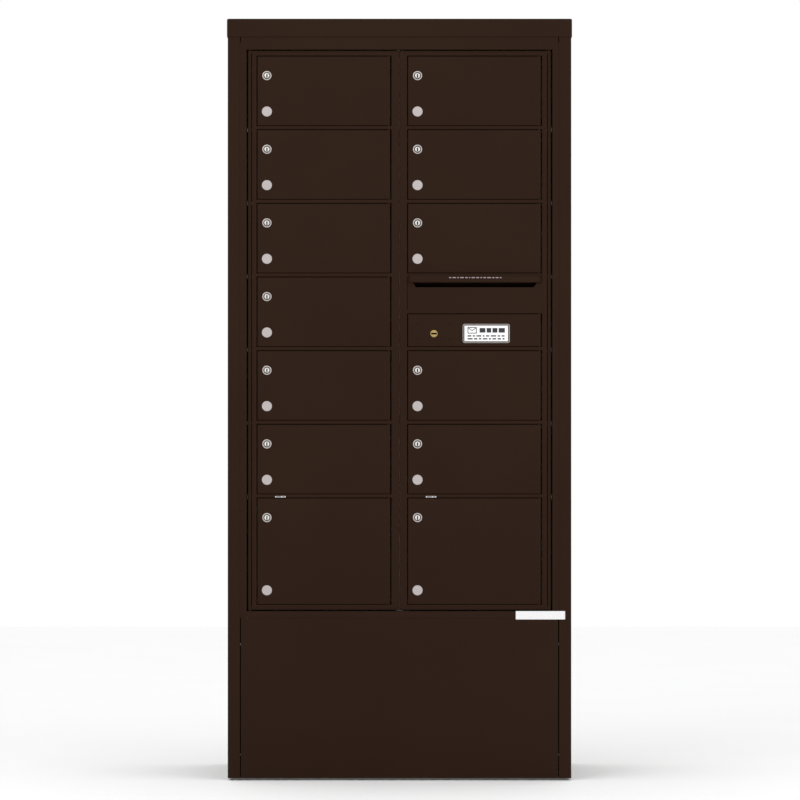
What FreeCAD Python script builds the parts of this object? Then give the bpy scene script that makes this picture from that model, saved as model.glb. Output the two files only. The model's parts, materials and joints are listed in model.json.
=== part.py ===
import FreeCAD, Part
import os

# A floor-standing cluster mailbox: a two-column mail module in a sheet-metal cabinet.
# Frame: millimetres, +Z up, the front faces -Y, +X is right as seen from the front.
# Origin: centre of the footprint, on the floor.

# ---- Door grid of the mail module
UNIT = 88.9                # height of one door unit
RAIL = 9.0                 # rail of a master door between two openings
END_RAIL = 14.0            # lowest and highest rails of a master door, with the gap to the trim
OPENING_WIDTH = 324.5      # door opening in a master door
INNER_STILE = 18.7         # master door stile at the unit's centre
OUTER_STILE = 22.0         # master door stile at its hinge
CENTRE_GAP = 1.6           # between the two master doors
TRIM_GAP = 1.0             # between the master doors and the trim
LEFT_DOORS = (2, 2, 2, 2, 2, 2, 3)     # heights in units, from the top down
RIGHT_DOORS = (2, 2, 2, 2, 2, 3)       # the same, without the slot panel and the carrier's door
ROWS_ABOVE_SLOT = 3                    # right-hand tenant doors above the slot panel

# ---- Cabinet
CABINET_DEPTH = 508.0      # over the side panels
LEG_HEIGHT = 410.0         # floor to the bottom of the mail module
HEADER = 32.0              # top of the module to the lower edge of the cap
CAP_SKIRT = 43.4
TRIM_WIDTH = 18.0
POST_WIDTH = 29.5          # front and rear folds of a side panel
POST_RETURN = 20.0         # second fold of a post, back into the cabinet
SHEET = 2.0                # cabinet sheet
SEAM = 2.0                 # open seam between a post and the panel beside it
BUTT = 0.3                 # tight joint between the trim and the sheets round it
BEND_RADIUS = 3.5          # outside radius of the cabinet's folds
CAP_RADIUS = 7.0
BASE_HEIGHT = 5.6
BASE_INSET = 12.5          # the base frame stands in from the side panels
BASE_BAR = 85.0
ANCHOR_RADIUS = 7.0
ANCHOR_EDGE = 52.0         # anchor hole to the outer edge of the base frame

# ---- Front to back
FACE_SETBACK = 6.0         # door faces behind the cabinet's front face
PIVOT_SETBACK = 4.0        # hinge axes behind the door faces
LIP_DEPTH = 12.0           # folded edge of a rail, from the door face
STILE_DEPTH = 18.5         # folded edge of a stile on its lock side, from the door face
FLANGE_MARGIN = 3.5        # outer edges of a master door, deeper than its stiles
CAM_MARGIN = 1.5           # between a stile's folded edge and a cam
LATCH_MARGIN = 3.0         # between a cam and a latch bar
POST_MARGIN = 6.0          # between a latch bar and the centre wall
REAR_SPACE = 62.0          # between the module's rear wall and the cabinet's rear face

# ---- Doors and hinges
FRAME_SHEET = 2.5
DOOR_SHEET = 2.0
LIP_SHEET = 1.5
DOOR_RETURN = 10.0         # depth of a tenant door, over its face
DOOR_GAP = 1.1             # above, below and on the lock side of a tenant door
HINGE_GAP = 3.0            # on the hinge side of a tenant door
PIVOT_INSET = 3.5          # hinge axis to the door's hinge edge
MASTER_PIVOT_INSET = 5.0
ROD_RADIUS = 2.0
MASTER_ROD_RADIUS = 2.5
RUNNING_FIT = 0.05         # radial
KNUCKLE_WALL = 1.0
MASTER_KNUCKLE_WALL = 1.4
GROOVE_WIDTH = 1.6         # groove along a master door's hinge side, marking off its edge strip
GROOVE_DEPTH = 1.0
GROOVE_INSET = 1.0         # middle of the groove to the end of the hinge strip
EDGE_RADIUS = 1.0
STOP_CLEARANCE = 0.4
STOP_TAB = (7.0, 12.0, 10.0)   # reach, distance from the opening's corner, height

# ---- Tenant locks
LOCK_INSET = 24.0          # lock axis to the opening's edge
LOCK_DROP = 47.5           # lock axis below the opening's top
LOCK_HEAD_RADIUS = 11.25
LOCK_HEAD = 2.2            # height of the head over the door face
LOCK_HEAD_EDGE = 1.2
BARREL_RADIUS = 9.4
BARREL_MARGIN = 2.0        # bare plug between the barrel and the cam
PLUG_RADIUS = 6.0
PLUG_PROUD = 0.5
SEAT_CLEARANCE = 0.1       # radial, for a barrel in its hole
NUT_ACROSS_FLATS = 24.0
NUT_THICKNESS = 4.0
CAM_LENGTH = 33.0
CAM_WIDTH = 14.0
CAM_THICKNESS = 2.0
KEYWAY = (1.8, 8.5, 6.0)   # width, height and depth
DISC_RADIUS = 12.7
DISC_THICKNESS = 1.0
DISC_ABOVE_EDGE = 34.0     # centre of the number disc above the opening's lower edge

# ---- Carrier's door and lock
ARROW_LOCK_INSET = 63.7    # lock axis to the opening's edge
ARROW_LOCK_RISE = 31.9     # lock axis above the opening's lower edge
ARROW_PLUG_RADIUS = 9.5
ARROW_PLUG_PROUD = 1.5
ARROW_KEYWAY = (2.2, 14.5, 8.0)    # height, width and depth
CASE_WIDTH = 92.0
CASE_HEIGHT = 46.0
CASE_BACK = 2.5            # back wall of the case, with the bolt's clearance
CASE_WALL = 3.0
BOLT_HEIGHT = 14.0
BOLT_THICKNESS = 4.0
BOLT_CLEARANCE = 0.4
BOLT_MARGIN = 1.0          # between a stile's folded edge and the bolt
BOLT_THROW = 12.0
BOLT_REACH = 4.5           # end of the retracted bolt inside the opening's edge
BOLT_TAIL = 13.0           # the notched tail of the bolt above the lock axis
DRIVE_PIN_RADIUS = 1.0
DRIVE_PIN_LENGTH = 3.0
CASE_RISE = 4.0            # middle of the case above the lock axis
STUD_RADIUS = 2.5
STUD_PROUD = 0.4
STUD_SPACING = (74.0, 35.0)

# ---- Outgoing slot
SLOT_HEIGHT = 11.5
SLOT_DROP = 13.5           # top of the slot below the opening's top
SLOT_MARGIN = 12.8         # each end of the slot to the opening's edge, at its top
SLOT_SLANT = 7.0
HOOD_PROUD = 8.0           # over the door face
HOOD_SLOPE = 9.0           # height of the hood's sloping top
HOOD_TOP_MARGIN = 0.6      # hood below the rail's upper edge
HOOD_BROW = 3.0            # height of the solid lip over the slot
HOOD_ENDS = (3.0, 1.0)     # ends of the hood inside the opening's edges
BAFFLE_DEPTH = 60.0
BAFFLE_DROP = 25.0
BAFFLE_RISE = 4.0          # underside of the baffle above the slot, at the panel
BAFFLE_OVERLAP = 3.0       # baffle past each end of the slot
PANEL_FIT = 0.15

# ---- Latches of the master doors
LATCH_THICKNESS = 3.0
LATCH_WIDTH = 12.0
LATCH_INSET = 3.2          # latch bar to the master door's centre edge
LATCH_CLEARANCE = 0.4
HOOK_WIDTH = 3.0
HOOK_HEIGHT = 20.0
HOOK_NOSE = 10.0           # the part of a hook that rises behind the post
HOOK_DEPTH = 5.0
HOOK_SHARE = 0.35          # foot of a hook, as a share of its unit
LATCH_TAB = (16.0, 10.0)   # width and height of a latch bar's finger tab
STRIKE_CLEARANCE = 1.5
STRIKE_WIDTH = 16.0        # half width of a strike plate
STRIKE_HEIGHT = 24.0
GUIDE_HEIGHT = 8.0
LATCH_ROWS = (2, 6, 9, 13)  # units that have a hook

# ---- Module shell
SHELL_SHEET = 1.5
SHELL_SPACE = 2.5          # between the trim's inner edge and the shell
SHELF_SHEET = 1.2
SHELF_LIP = 8.0
SHELF_GAP = 0.5

# ---- Fasteners
SCREW_RADIUS = 2.5
SCREW_HEAD_RADIUS = 5.0
SCREW_HEAD = 2.5
SCREW_CLEARANCE = 0.2      # radial
SCREW_NUT = 4.0
SCREW_END = 2.0            # screw past its nut
BASE_BOLT_RADIUS = 4.0
BASE_BOLT_HEAD = 5.0
BASE_BOLT_RECESS = 0.5     # foot of a base bolt above the floor

# ---- Sizes that follow
UNITS = sum(LEFT_DOORS)
MODULE_BOTTOM = LEG_HEIGHT
MODULE_TOP = MODULE_BOTTOM + UNITS * UNIT - RAIL + 2 * END_RAIL
MODULE_HALF = CENTRE_GAP / 2 + INNER_STILE + OPENING_WIDTH + OUTER_STILE + TRIM_GAP
CABINET_HALF = MODULE_HALF + TRIM_WIDTH + POST_WIDTH
POST_EDGE = CABINET_HALF - POST_WIDTH
PANEL_EDGE = POST_EDGE - SEAM
CAP_BOTTOM = MODULE_TOP + HEADER
TOTAL_HEIGHT = CAP_BOTTOM + CAP_SKIRT
BODY_TOP = TOTAL_HEIGHT - SHEET
FRONT = -CABINET_DEPTH / 2
BACK = CABINET_DEPTH / 2
FACE = FRONT + FACE_SETBACK
PIVOT_Y = FACE + PIVOT_SETBACK
MASTER_PIVOT_X = MODULE_HALF - TRIM_GAP - MASTER_PIVOT_INSET
MODULE_BACK = BACK - REAR_SPACE
BASE_HALF_X = CABINET_HALF - BASE_INSET
BASE_HALF_Y = CABINET_DEPTH / 2 - BASE_INSET
SHELL_HALF = MODULE_HALF + SHELL_SPACE + SHELL_SHEET
SHELL_BOTTOM = MODULE_BOTTOM - SHELL_SPACE - SHELL_SHEET
SHELL_TOP = MODULE_TOP + SHELL_SPACE + SHELL_SHEET
SHELL_FRONT = FRONT + 2 * SHEET + BUTT
CAM_FRONT = FACE + STILE_DEPTH + CAM_MARGIN
BOLT_FRONT = FACE + STILE_DEPTH + BOLT_MARGIN
LATCH_FRONT = CAM_FRONT + CAM_THICKNESS + LATCH_MARGIN
LATCH_BACK = LATCH_FRONT + LATCH_THICKNESS
COMPARTMENT_FRONT = LATCH_BACK + POST_MARGIN
LATCH_TRAVEL = HOOK_NOSE
DRIVE_PIN_OFFSET = BOLT_THROW / 2      # sideways and up from the lock axis, at either end of the turn


def vec(x, y, z):
    return FreeCAD.Vector(x, y, z)


def box(x0, x1, y0, y1, z0, z1):
    return Part.makeBox(x1 - x0, y1 - y0, z1 - z0, vec(x0, y0, z0))


def rod_y(radius, x, z, y0, y1):
    return Part.makeCylinder(radius, y1 - y0, vec(x, y0, z), vec(0, 1, 0))


def rod_z(radius, x, y, z0, z1):
    return Part.makeCylinder(radius, z1 - z0, vec(x, y, z0), vec(0, 0, 1))


def rod_x(radius, y, z, x0, x1):
    return Part.makeCylinder(radius, x1 - x0, vec(x0, y, z), vec(1, 0, 0))


def joined(shapes):
    first = shapes[0]
    if len(shapes) > 1:
        first = first.multiFuse(shapes[1:])
    return first.removeSplitter()


def group(shapes):
    return Part.makeCompound(shapes)


def mirrored(shape):
    """The same shape on the other side of the centre plane."""
    return shape.mirror(vec(0, 0, 0), vec(1, 0, 0))


def on_side(shape, side):
    return shape if side > 0 else mirrored(shape)


def round_edges(shape, radius, wanted):
    edges = [e for e in shape.Edges if wanted(e)]
    return shape.makeFillet(radius, edges)


def is_vertical(edge):
    size = edge.BoundBox
    return size.XLength < 1e-6 and size.YLength < 1e-6


def hexagon_nut(across, thickness, x, z, y0, hole_radius):
    corner = across / 3 ** 0.5
    points = []
    for k in range(7):
        turn = FreeCAD.Rotation(vec(0, 1, 0), 60 * k)
        points.append(vec(x, y0, z) + turn.multVec(vec(corner, 0, 0)))
    prism = Part.Face(Part.makePolygon(points)).extrude(vec(0, thickness, 0))
    return prism.cut(rod_y(hole_radius, x, z, y0 - 1, y0 + thickness + 1))


# ---------------------------------------------------------------- the door grid

def opening_span(first_unit, units):
    """Lower and upper edges of a door opening that starts at a unit counted from the bottom."""
    low = MODULE_BOTTOM + END_RAIL + first_unit * UNIT
    return low, low + units * UNIT - RAIL


def column_edges(side):
    """Left and right edges of the openings in a column: side is -1 for left, 1 for right."""
    near = CENTRE_GAP / 2 + INNER_STILE
    far = near + OPENING_WIDTH
    return (near, far) if side > 0 else (-far, -near)


def tenant_rows(side):
    """(number, first unit, units) of each tenant door, numbered from the top."""
    heights = LEFT_DOORS if side < 0 else RIGHT_DOORS
    rows = []
    top = UNITS
    for number, units in enumerate(heights, 1):
        if side > 0 and number == ROWS_ABOVE_SLOT + 1:
            top -= 2
        top -= units
        rows.append((number, top, units))
    return rows


def slot_unit():
    return UNITS - sum(RIGHT_DOORS[:ROWS_ABOVE_SLOT]) - 1


def arrow_unit():
    return slot_unit() - 1


def openings(side):
    """(low, high) of every opening in a master door."""
    spans = [opening_span(first, units) for _, first, units in tenant_rows(side)]
    if side > 0:
        spans.append(opening_span(slot_unit(), 1))
        spans.append(opening_span(arrow_unit(), 1))
    return spans


def tenant_pivot_x(side):
    return column_edges(side)[1] - HINGE_GAP - PIVOT_INSET


def lock_place(side, first_unit, units):
    low, high = opening_span(first_unit, units)
    return column_edges(side)[0] + LOCK_INSET, high - LOCK_DROP


def arrow_lock_place():
    low, _ = opening_span(arrow_unit(), 1)
    return column_edges(1)[0] + ARROW_LOCK_INSET, low + ARROW_LOCK_RISE


# ---------------------------------------------------------------- cabinet

def side_panel(side):
    """A wide channel: the side sheet, its front and rear posts and a fold at the floor."""
    low = BASE_HEIGHT
    outer = box(POST_EDGE, CABINET_HALF, FRONT, BACK, low, BODY_TOP)
    outer = round_edges(outer, BEND_RADIUS, lambda e: is_vertical(e) and e.BoundBox.XMin > POST_EDGE + 1)
    inner = box(POST_EDGE - 1, CABINET_HALF - SHEET, FRONT + SHEET, BACK - SHEET, low - 1, BODY_TOP + 1)
    inner = round_edges(inner, BEND_RADIUS - SHEET, lambda e: is_vertical(e) and e.BoundBox.XMin > POST_EDGE)
    returns = [
        box(POST_EDGE, POST_EDGE + SHEET, FRONT, FRONT + POST_RETURN, low, BODY_TOP),
        box(POST_EDGE, POST_EDGE + SHEET, BACK - POST_RETURN, BACK, low, BODY_TOP),
        box(POST_EDGE + SHEET + BUTT, CABINET_HALF - SHEET, FRONT + POST_RETURN, BACK - POST_RETURN,
            low, low + SHEET),
    ]
    panel = joined([outer.cut(inner)] + returns)
    holes = [rod_x(SCREW_RADIUS + SCREW_CLEARANCE, y, z, PANEL_EDGE, CABINET_HALF - SHEET - 1)
             for y, z in seam_screw_places()]
    for y in base_bolt_places():
        holes.append(rod_z(BASE_BOLT_RADIUS + SCREW_CLEARANCE, base_bolt_x(), y, 0, low + 2 * SHEET))
    return on_side(panel.cut(holes), side)


def seam_screw_places():
    """(y, z) of the screws that join the posts to the lower panel, the trim and the rear panel."""
    depth = POST_RETURN / 2
    lower = [(FRONT + depth + SHEET, z) for z in (LEG_HEIGHT * 0.15, LEG_HEIGHT * 0.8)]
    middle = (MODULE_BOTTOM + MODULE_TOP) / 2
    reach = (MODULE_TOP - MODULE_BOTTOM) * 0.45
    trim = [(FRONT + depth + SHEET, middle + k * reach) for k in (-1, 0, 1)]
    rear = [(BACK - depth - SHEET, TOTAL_HEIGHT * share) for share in (0.1, 0.37, 0.64, 0.91)]
    return lower + trim + rear


def base_bolt_x():
    return (POST_EDGE + SHEET + BASE_HALF_X) / 2


def base_bolt_places():
    return (-BASE_HALF_Y * 0.6, BASE_HALF_Y * 0.6)


def top_cap():
    """A folded lid whose skirt goes over the cabinet's walls."""
    outer = box(-CABINET_HALF - SHEET, CABINET_HALF + SHEET, FRONT - SHEET, BACK + SHEET,
                CAP_BOTTOM, TOTAL_HEIGHT)
    outer = round_edges(outer, CAP_RADIUS, is_vertical)
    outer = round_edges(outer, BEND_RADIUS, lambda e: e.BoundBox.ZMin > TOTAL_HEIGHT - 1e-6)
    inner = box(-CABINET_HALF, CABINET_HALF, FRONT, BACK, CAP_BOTTOM - 1, TOTAL_HEIGHT - SHEET)
    inner = round_edges(inner, BEND_RADIUS, is_vertical)
    return outer.cut(inner)


def closing_panel(low, high, y_face, inward):
    """A panel between two posts, folded at its sides and foot. inward is 1 at the front, -1 at the rear."""
    y0, y1 = sorted((y_face, y_face + inward * SHEET))
    r0, r1 = sorted((y_face, y_face + inward * POST_RETURN))
    sheets = [
        box(-PANEL_EDGE, PANEL_EDGE, y0, y1, low, high),
        box(PANEL_EDGE - SHEET, PANEL_EDGE, r0, r1, low, high),
        box(-PANEL_EDGE, -PANEL_EDGE + SHEET, r0, r1, low, high),
        box(-PANEL_EDGE, PANEL_EDGE, r0, r1, low, low + SHEET),
    ]
    return joined(sheets).cut(seam_holes())


def seam_holes():
    holes = []
    for y, z in seam_screw_places():
        hole = rod_x(SCREW_RADIUS + SCREW_CLEARANCE, y, z, PANEL_EDGE - 2 * SHEET, PANEL_EDGE + 1)
        holes.append(hole)
        holes.append(mirrored(hole))
    return holes


def lower_front_panel():
    return closing_panel(BASE_HEIGHT, MODULE_BOTTOM - TRIM_WIDTH - BUTT, FRONT, 1)


def rear_panel():
    return closing_panel(BASE_HEIGHT, BODY_TOP, BACK, -1)


def surround_trim():
    """The flat frame round the module, with a short fold at its inner edge and a header under the cap."""
    outer_x = POST_EDGE - BUTT
    low = MODULE_BOTTOM - TRIM_WIDTH
    high = MODULE_TOP + TRIM_WIDTH
    y1 = FRONT + SHEET
    plate = joined([
        box(-outer_x, outer_x, FRONT, y1, low, high),
        box(-PANEL_EDGE, PANEL_EDGE, FRONT, y1, high, BODY_TOP - BUTT),
        box(-MODULE_HALF - SHEET, MODULE_HALF + SHEET, FRONT, FRONT + 2 * SHEET,
            MODULE_BOTTOM - SHEET, MODULE_TOP + SHEET),
    ])
    plate = plate.cut(box(-MODULE_HALF, MODULE_HALF, FRONT - 1, FRONT + POST_RETURN,
                          MODULE_BOTTOM, MODULE_TOP))
    sides = [box(PANEL_EDGE - SHEET, PANEL_EDGE, y1, FRONT + POST_RETURN, low, high),
             box(-PANEL_EDGE, -PANEL_EDGE + SHEET, y1, FRONT + POST_RETURN, low, high)]
    return joined([plate] + sides).cut(seam_holes())


def base_frame():
    """A flat bar frame on the floor, with a hole for an anchor in each corner."""
    frame = box(-BASE_HALF_X, BASE_HALF_X, -BASE_HALF_Y, BASE_HALF_Y, 0, BASE_HEIGHT)
    inner_x = BASE_HALF_X - BASE_BAR
    inner_y = BASE_HALF_Y - BASE_BAR
    holes = [box(-inner_x, inner_x, -inner_y, inner_y, -1, BASE_HEIGHT + 1)]
    anchor_x = BASE_HALF_X - ANCHOR_EDGE
    anchor_y = BASE_HALF_Y - ANCHOR_EDGE
    bolt_hole = BASE_BOLT_RADIUS + SCREW_CLEARANCE
    for side in (-1, 1):
        for y in (-anchor_y, anchor_y):
            holes.append(rod_z(ANCHOR_RADIUS, side * anchor_x, y, -1, BASE_HEIGHT + 1))
        for y in base_bolt_places():
            holes.append(rod_z(bolt_hole, side * base_bolt_x(), y, -1, BASE_HEIGHT + 1))
    return frame.cut(holes)


def cabinet_screws():
    """Seam screws with their nuts between each post and the panel beside it, and the base bolts."""
    screws = []
    head_x = PANEL_EDGE - SHEET
    for y, z in seam_screw_places():
        shank = rod_x(SCREW_RADIUS, y, z, head_x, POST_EDGE + SHEET + SCREW_NUT + SCREW_END)
        head = rod_x(SCREW_HEAD_RADIUS, y, z, head_x - SCREW_HEAD, head_x)
        nut = rod_x(SCREW_HEAD_RADIUS, y, z, POST_EDGE + SHEET, POST_EDGE + SHEET + SCREW_NUT)
        screw = joined([shank, head, nut])
        screws += [screw, mirrored(screw)]
    top = BASE_HEIGHT + SHEET
    for y in base_bolt_places():
        shank = rod_z(BASE_BOLT_RADIUS, base_bolt_x(), y, BASE_BOLT_RECESS, top)
        head = rod_z(2 * BASE_BOLT_RADIUS, base_bolt_x(), y, top, top + BASE_BOLT_HEAD)
        bolt = joined([shank, head])
        screws += [bolt, mirrored(bolt)]
    return group(screws)


# ---------------------------------------------------------------- module shell

def module_shell():
    """Open-fronted box with a centre wall, whose front edge is folded over between the latch hooks."""
    shell = box(-SHELL_HALF, SHELL_HALF, SHELL_FRONT, MODULE_BACK, SHELL_BOTTOM, SHELL_TOP)
    inner = SHELL_HALF - SHELL_SHEET
    hollow = box(-inner, inner, SHELL_FRONT - 1, MODULE_BACK - SHELL_SHEET,
                 SHELL_BOTTOM + SHELL_SHEET, SHELL_TOP - SHELL_SHEET)
    half = SHELL_SHEET / 2
    fold = hook_edges()[0] - STRIKE_CLEARANCE
    wall = box(-half, half, COMPARTMENT_FRONT, MODULE_BACK, SHELL_BOTTOM, SHELL_TOP)
    edge = box(-fold, fold, COMPARTMENT_FRONT, COMPARTMENT_FRONT + SHELL_SHEET, SHELL_BOTTOM, SHELL_TOP)
    cuts = [rod_z(MASTER_ROD_RADIUS + RUNNING_FIT, side * MASTER_PIVOT_X, PIVOT_Y,
                  SHELL_BOTTOM - 1, SHELL_TOP + 1) for side in (-1, 1)]
    return joined([shell.cut(hollow), wall, edge]).cut(cuts)


def strike_plates():
    """Plates on the front of the centre wall, each behind which a hook of both latch bars rises."""
    back = COMPARTMENT_FRONT - BUTT
    plates = []
    for z in hook_heights():
        low = z + HOOK_HEIGHT + STRIKE_CLEARANCE
        plates.append(box(-STRIKE_WIDTH, STRIKE_WIDTH, back - SHELL_SHEET, back, low, low + STRIKE_HEIGHT))
    return plates


def compartment_shelves():
    """One folded shelf below each compartment except the lowest."""
    shelves = []
    for side in (-1, 1):
        firsts = [first for _, first, _ in tenant_rows(side) if first > 0]
        if side > 0:
            firsts.append(arrow_unit())
        near = SHELL_SHEET / 2 + SHELF_GAP
        far = SHELL_HALF - SHELL_SHEET - SHELF_GAP
        front = COMPARTMENT_FRONT + SHELL_SHEET + SHELF_GAP
        for first in firsts:
            z = opening_span(first, 1)[0] - RAIL / 2
            sheet = box(near, far, front, MODULE_BACK - SHELL_SHEET - SHELF_GAP, z, z + SHELF_SHEET)
            lip = box(STRIKE_WIDTH + SHELF_GAP, far, front, front + SHELF_SHEET, z - SHELF_LIP, z)
            shelves.append(on_side(joined([sheet, lip]), side))
    return shelves


# ---------------------------------------------------------------- master doors

def hook_edges():
    """Nearer and further sides of a latch hook from the centre plane."""
    middle = CENTRE_GAP / 2 + LATCH_INSET + LATCH_WIDTH / 2
    return middle - HOOK_WIDTH / 2, middle + HOOK_WIDTH / 2


def hook_heights():
    return [opening_span(unit, 1)[0] + UNIT * HOOK_SHARE for unit in LATCH_ROWS]


def guide_heights(side):
    """Middle of every second rail, where the latch bar is guided."""
    rails = sorted(low - RAIL / 2 for low, _ in openings(side))[1:]
    return rails[::2]


def opening_lips(x0, x1, low, high):
    """Folded edges round one opening: deeper on its lock side, which is its left."""
    lip = LIP_SHEET
    return [
        box(x0 - lip, x0, FACE, FACE + STILE_DEPTH, low - lip, high + lip),
        box(x1, x1 + lip, FACE, FACE + LIP_DEPTH, low - lip, high + lip),
        box(x0, x1, FACE, FACE + LIP_DEPTH, low - lip, low),
        box(x0, x1, FACE, FACE + LIP_DEPTH, high, high + lip),
    ]


def door_stops(x0, low, high):
    """Two tabs behind a door's lock side."""
    front = FACE + DOOR_RETURN + STOP_CLEARANCE
    reach, inset, height = STOP_TAB
    return [box(x0, x0 + reach, front, front + LIP_SHEET, z, z + height)
            for z in (low + inset, high - inset - height)]


def door_frame(side):
    """A master door: a welded sheet frame with an opening for each door of its column."""
    near = CENTRE_GAP / 2
    far = MODULE_HALF - TRIM_GAP
    low = MODULE_BOTTOM + TRIM_GAP
    high = MODULE_TOP - TRIM_GAP
    depth = FACE + STILE_DEPTH + FLANGE_MARGIN
    plate = on_side(box(near, far, FACE, FACE + FRAME_SHEET, low, high), side)
    x0, x1 = column_edges(side)
    spans = openings(side)
    plate = plate.cut([box(x0, x1, FACE - 1, FACE + 10, z0, z1) for z0, z1 in spans])
    flanges = [
        box(near, near + SHEET, FACE, depth, low, high),
        box(far - SHEET, far, FACE, FACE + LIP_DEPTH, low, high),
        box(near, far, FACE, depth, low, low + SHEET),
        box(near, far, FACE, depth, high - SHEET, high),
        rod_z(MASTER_ROD_RADIUS + MASTER_KNUCKLE_WALL, MASTER_PIVOT_X, PIVOT_Y, low, high),
    ]
    bar0 = near + LATCH_INSET - LATCH_CLEARANCE
    bar1 = near + LATCH_INSET + LATCH_WIDTH + LATCH_CLEARANCE
    for z in guide_heights(side):
        block = box(near + SHEET, near + INNER_STILE - LIP_SHEET - BUTT, FACE + STILE_DEPTH,
                    LATCH_BACK + LATCH_CLEARANCE + LIP_SHEET, z - GUIDE_HEIGHT / 2, z + GUIDE_HEIGHT / 2)
        way = box(bar0, bar1, LATCH_FRONT - LATCH_CLEARANCE, LATCH_BACK + LATCH_CLEARANCE,
                  z - GUIDE_HEIGHT, z + GUIDE_HEIGHT)
        flanges.append(block.cut(way))
    parts = [plate] + [on_side(flange, side) for flange in flanges]
    for z0, z1 in spans:
        parts += opening_lips(x0, x1, z0, z1)
        if side < 0 or (z0, z1) != opening_span(slot_unit(), 1):
            parts += door_stops(x0, z0, z1)
    groove = MASTER_PIVOT_X - MASTER_PIVOT_INSET + GROOVE_INSET
    cuts = [
        on_side(rod_z(MASTER_ROD_RADIUS + RUNNING_FIT, MASTER_PIVOT_X, PIVOT_Y, low - 1, high + 1), side),
        rod_z(ROD_RADIUS + RUNNING_FIT, tenant_pivot_x(side), PIVOT_Y, low - 1, high + 1),
        on_side(box(groove - GROOVE_WIDTH / 2, groove + GROOVE_WIDTH / 2, FACE - 1, FACE + GROOVE_DEPTH,
                    low - 1, high + 1), side),
    ]
    return joined(parts).cut(cuts)


def hinge_rods(side):
    """The master door's own rod, whose ends turn in the shell, and the rod of its column of doors."""
    master = on_side(rod_z(MASTER_ROD_RADIUS, MASTER_PIVOT_X, PIVOT_Y, SHELL_BOTTOM, SHELL_TOP), side)
    low = MODULE_BOTTOM + TRIM_GAP
    high = MODULE_TOP - TRIM_GAP
    column = rod_z(ROD_RADIUS, tenant_pivot_x(side), PIVOT_Y, low, high)
    return group([master, column])


def latch_bar(side):
    """A sliding bar with a finger tab, and hooks that rise behind the strike plates."""
    near = CENTRE_GAP / 2 + LATCH_INSET
    far = near + LATCH_WIDTH
    low = opening_span(0, 1)[0] + RAIL
    high = opening_span(UNITS - 1, 1)[1] - RAIL - LATCH_TRAVEL
    tab_z = opening_span(arrow_unit(), 1)[1] - 2 * LATCH_TRAVEL
    width, height = LATCH_TAB
    parts = [
        box(near, far, LATCH_FRONT, LATCH_BACK, low, high),
        box(far + SEAT_CLEARANCE, far + width, LATCH_FRONT, LATCH_BACK, tab_z, tab_z + height),
    ]
    x0, x1 = hook_edges()
    nose = COMPARTMENT_FRONT - BUTT + LATCH_CLEARANCE
    for z in hook_heights():
        neck = box(x0, x1, LATCH_BACK + SEAT_CLEARANCE, nose, z, z + HOOK_HEIGHT - HOOK_NOSE)
        parts.append(joined([neck, box(x0, x1, nose, nose + HOOK_DEPTH, z, z + HOOK_HEIGHT)]))
    return on_side(group(parts), side)


# ---------------------------------------------------------------- tenant doors

def door_pan(side, low, high):
    """A shallow folded pan with a rolled hinge edge on its right."""
    x0, x1 = column_edges(side)
    x0 += DOOR_GAP
    x1 -= HINGE_GAP
    low += DOOR_GAP
    high -= DOOR_GAP
    outer = box(x0, x1, FACE, FACE + DOOR_RETURN, low, high)
    outer = round_edges(outer, EDGE_RADIUS, lambda e: e.BoundBox.YMax < FACE + 1e-6)
    inner = box(x0 + LIP_SHEET, x1 - LIP_SHEET, FACE + DOOR_SHEET, FACE + DOOR_RETURN + 1,
                low + LIP_SHEET, high - LIP_SHEET)
    pivot = tenant_pivot_x(side)
    knuckle = rod_z(ROD_RADIUS + KNUCKLE_WALL, pivot, PIVOT_Y, low, high)
    bore = rod_z(ROD_RADIUS + RUNNING_FIT, pivot, PIVOT_Y, low - 1, high + 1)
    return joined([outer.cut(inner), knuckle]).cut(bore)


def tenant_door(side, first_unit, units):
    low, high = opening_span(first_unit, units)
    x, z = lock_place(side, first_unit, units)
    return door_pan(side, low, high).cut(rod_y(BARREL_RADIUS + SEAT_CLEARANCE, x, z, FACE - 1, FACE + 5))


def lock_fittings(side, first_unit, units):
    """Lock housing, its nut behind the door, and the number disc."""
    x, z = lock_place(side, first_unit, units)
    low, _ = opening_span(first_unit, units)
    head = rod_y(LOCK_HEAD_RADIUS, x, z, FACE - LOCK_HEAD, FACE)
    head = round_edges(head, LOCK_HEAD_EDGE, lambda e: e.BoundBox.YMax < FACE - LOCK_HEAD + 1e-6)
    barrel = rod_y(BARREL_RADIUS, x, z, FACE, CAM_FRONT - BARREL_MARGIN)
    housing = joined([head, barrel]).cut(rod_y(PLUG_RADIUS + RUNNING_FIT, x, z, FACE - 5, CAM_FRONT + 1))
    nut = hexagon_nut(NUT_ACROSS_FLATS, NUT_THICKNESS, x, z, FACE + DOOR_SHEET,
                      BARREL_RADIUS + SEAT_CLEARANCE)
    disc = rod_y(DISC_RADIUS, x, low + DISC_ABOVE_EDGE, FACE - DISC_THICKNESS, FACE)
    return group([housing, nut, disc])


def lock_core(side, first_unit, units):
    """The plug that the key turns, with the cam on its end. The cam hangs down when unlocked."""
    x, z = lock_place(side, first_unit, units)
    front = FACE - LOCK_HEAD - PLUG_PROUD
    plug = rod_y(PLUG_RADIUS, x, z, front, CAM_FRONT - SEAT_CLEARANCE)
    width, height, depth = KEYWAY
    keyway = box(x - width / 2, x + width / 2, front - 1, front + depth, z - height / 2, z + height / 2)
    plug = plug.cut(keyway)
    back = CAM_FRONT + CAM_THICKNESS
    cam = joined([
        rod_y(CAM_WIDTH / 2, x, z, CAM_FRONT, back),
        box(x - CAM_WIDTH / 2, x + CAM_WIDTH / 2, CAM_FRONT, back, z - CAM_LENGTH, z),
    ])
    return group([plug, cam])


# ---------------------------------------------------------------- carrier's door and its lock

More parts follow.
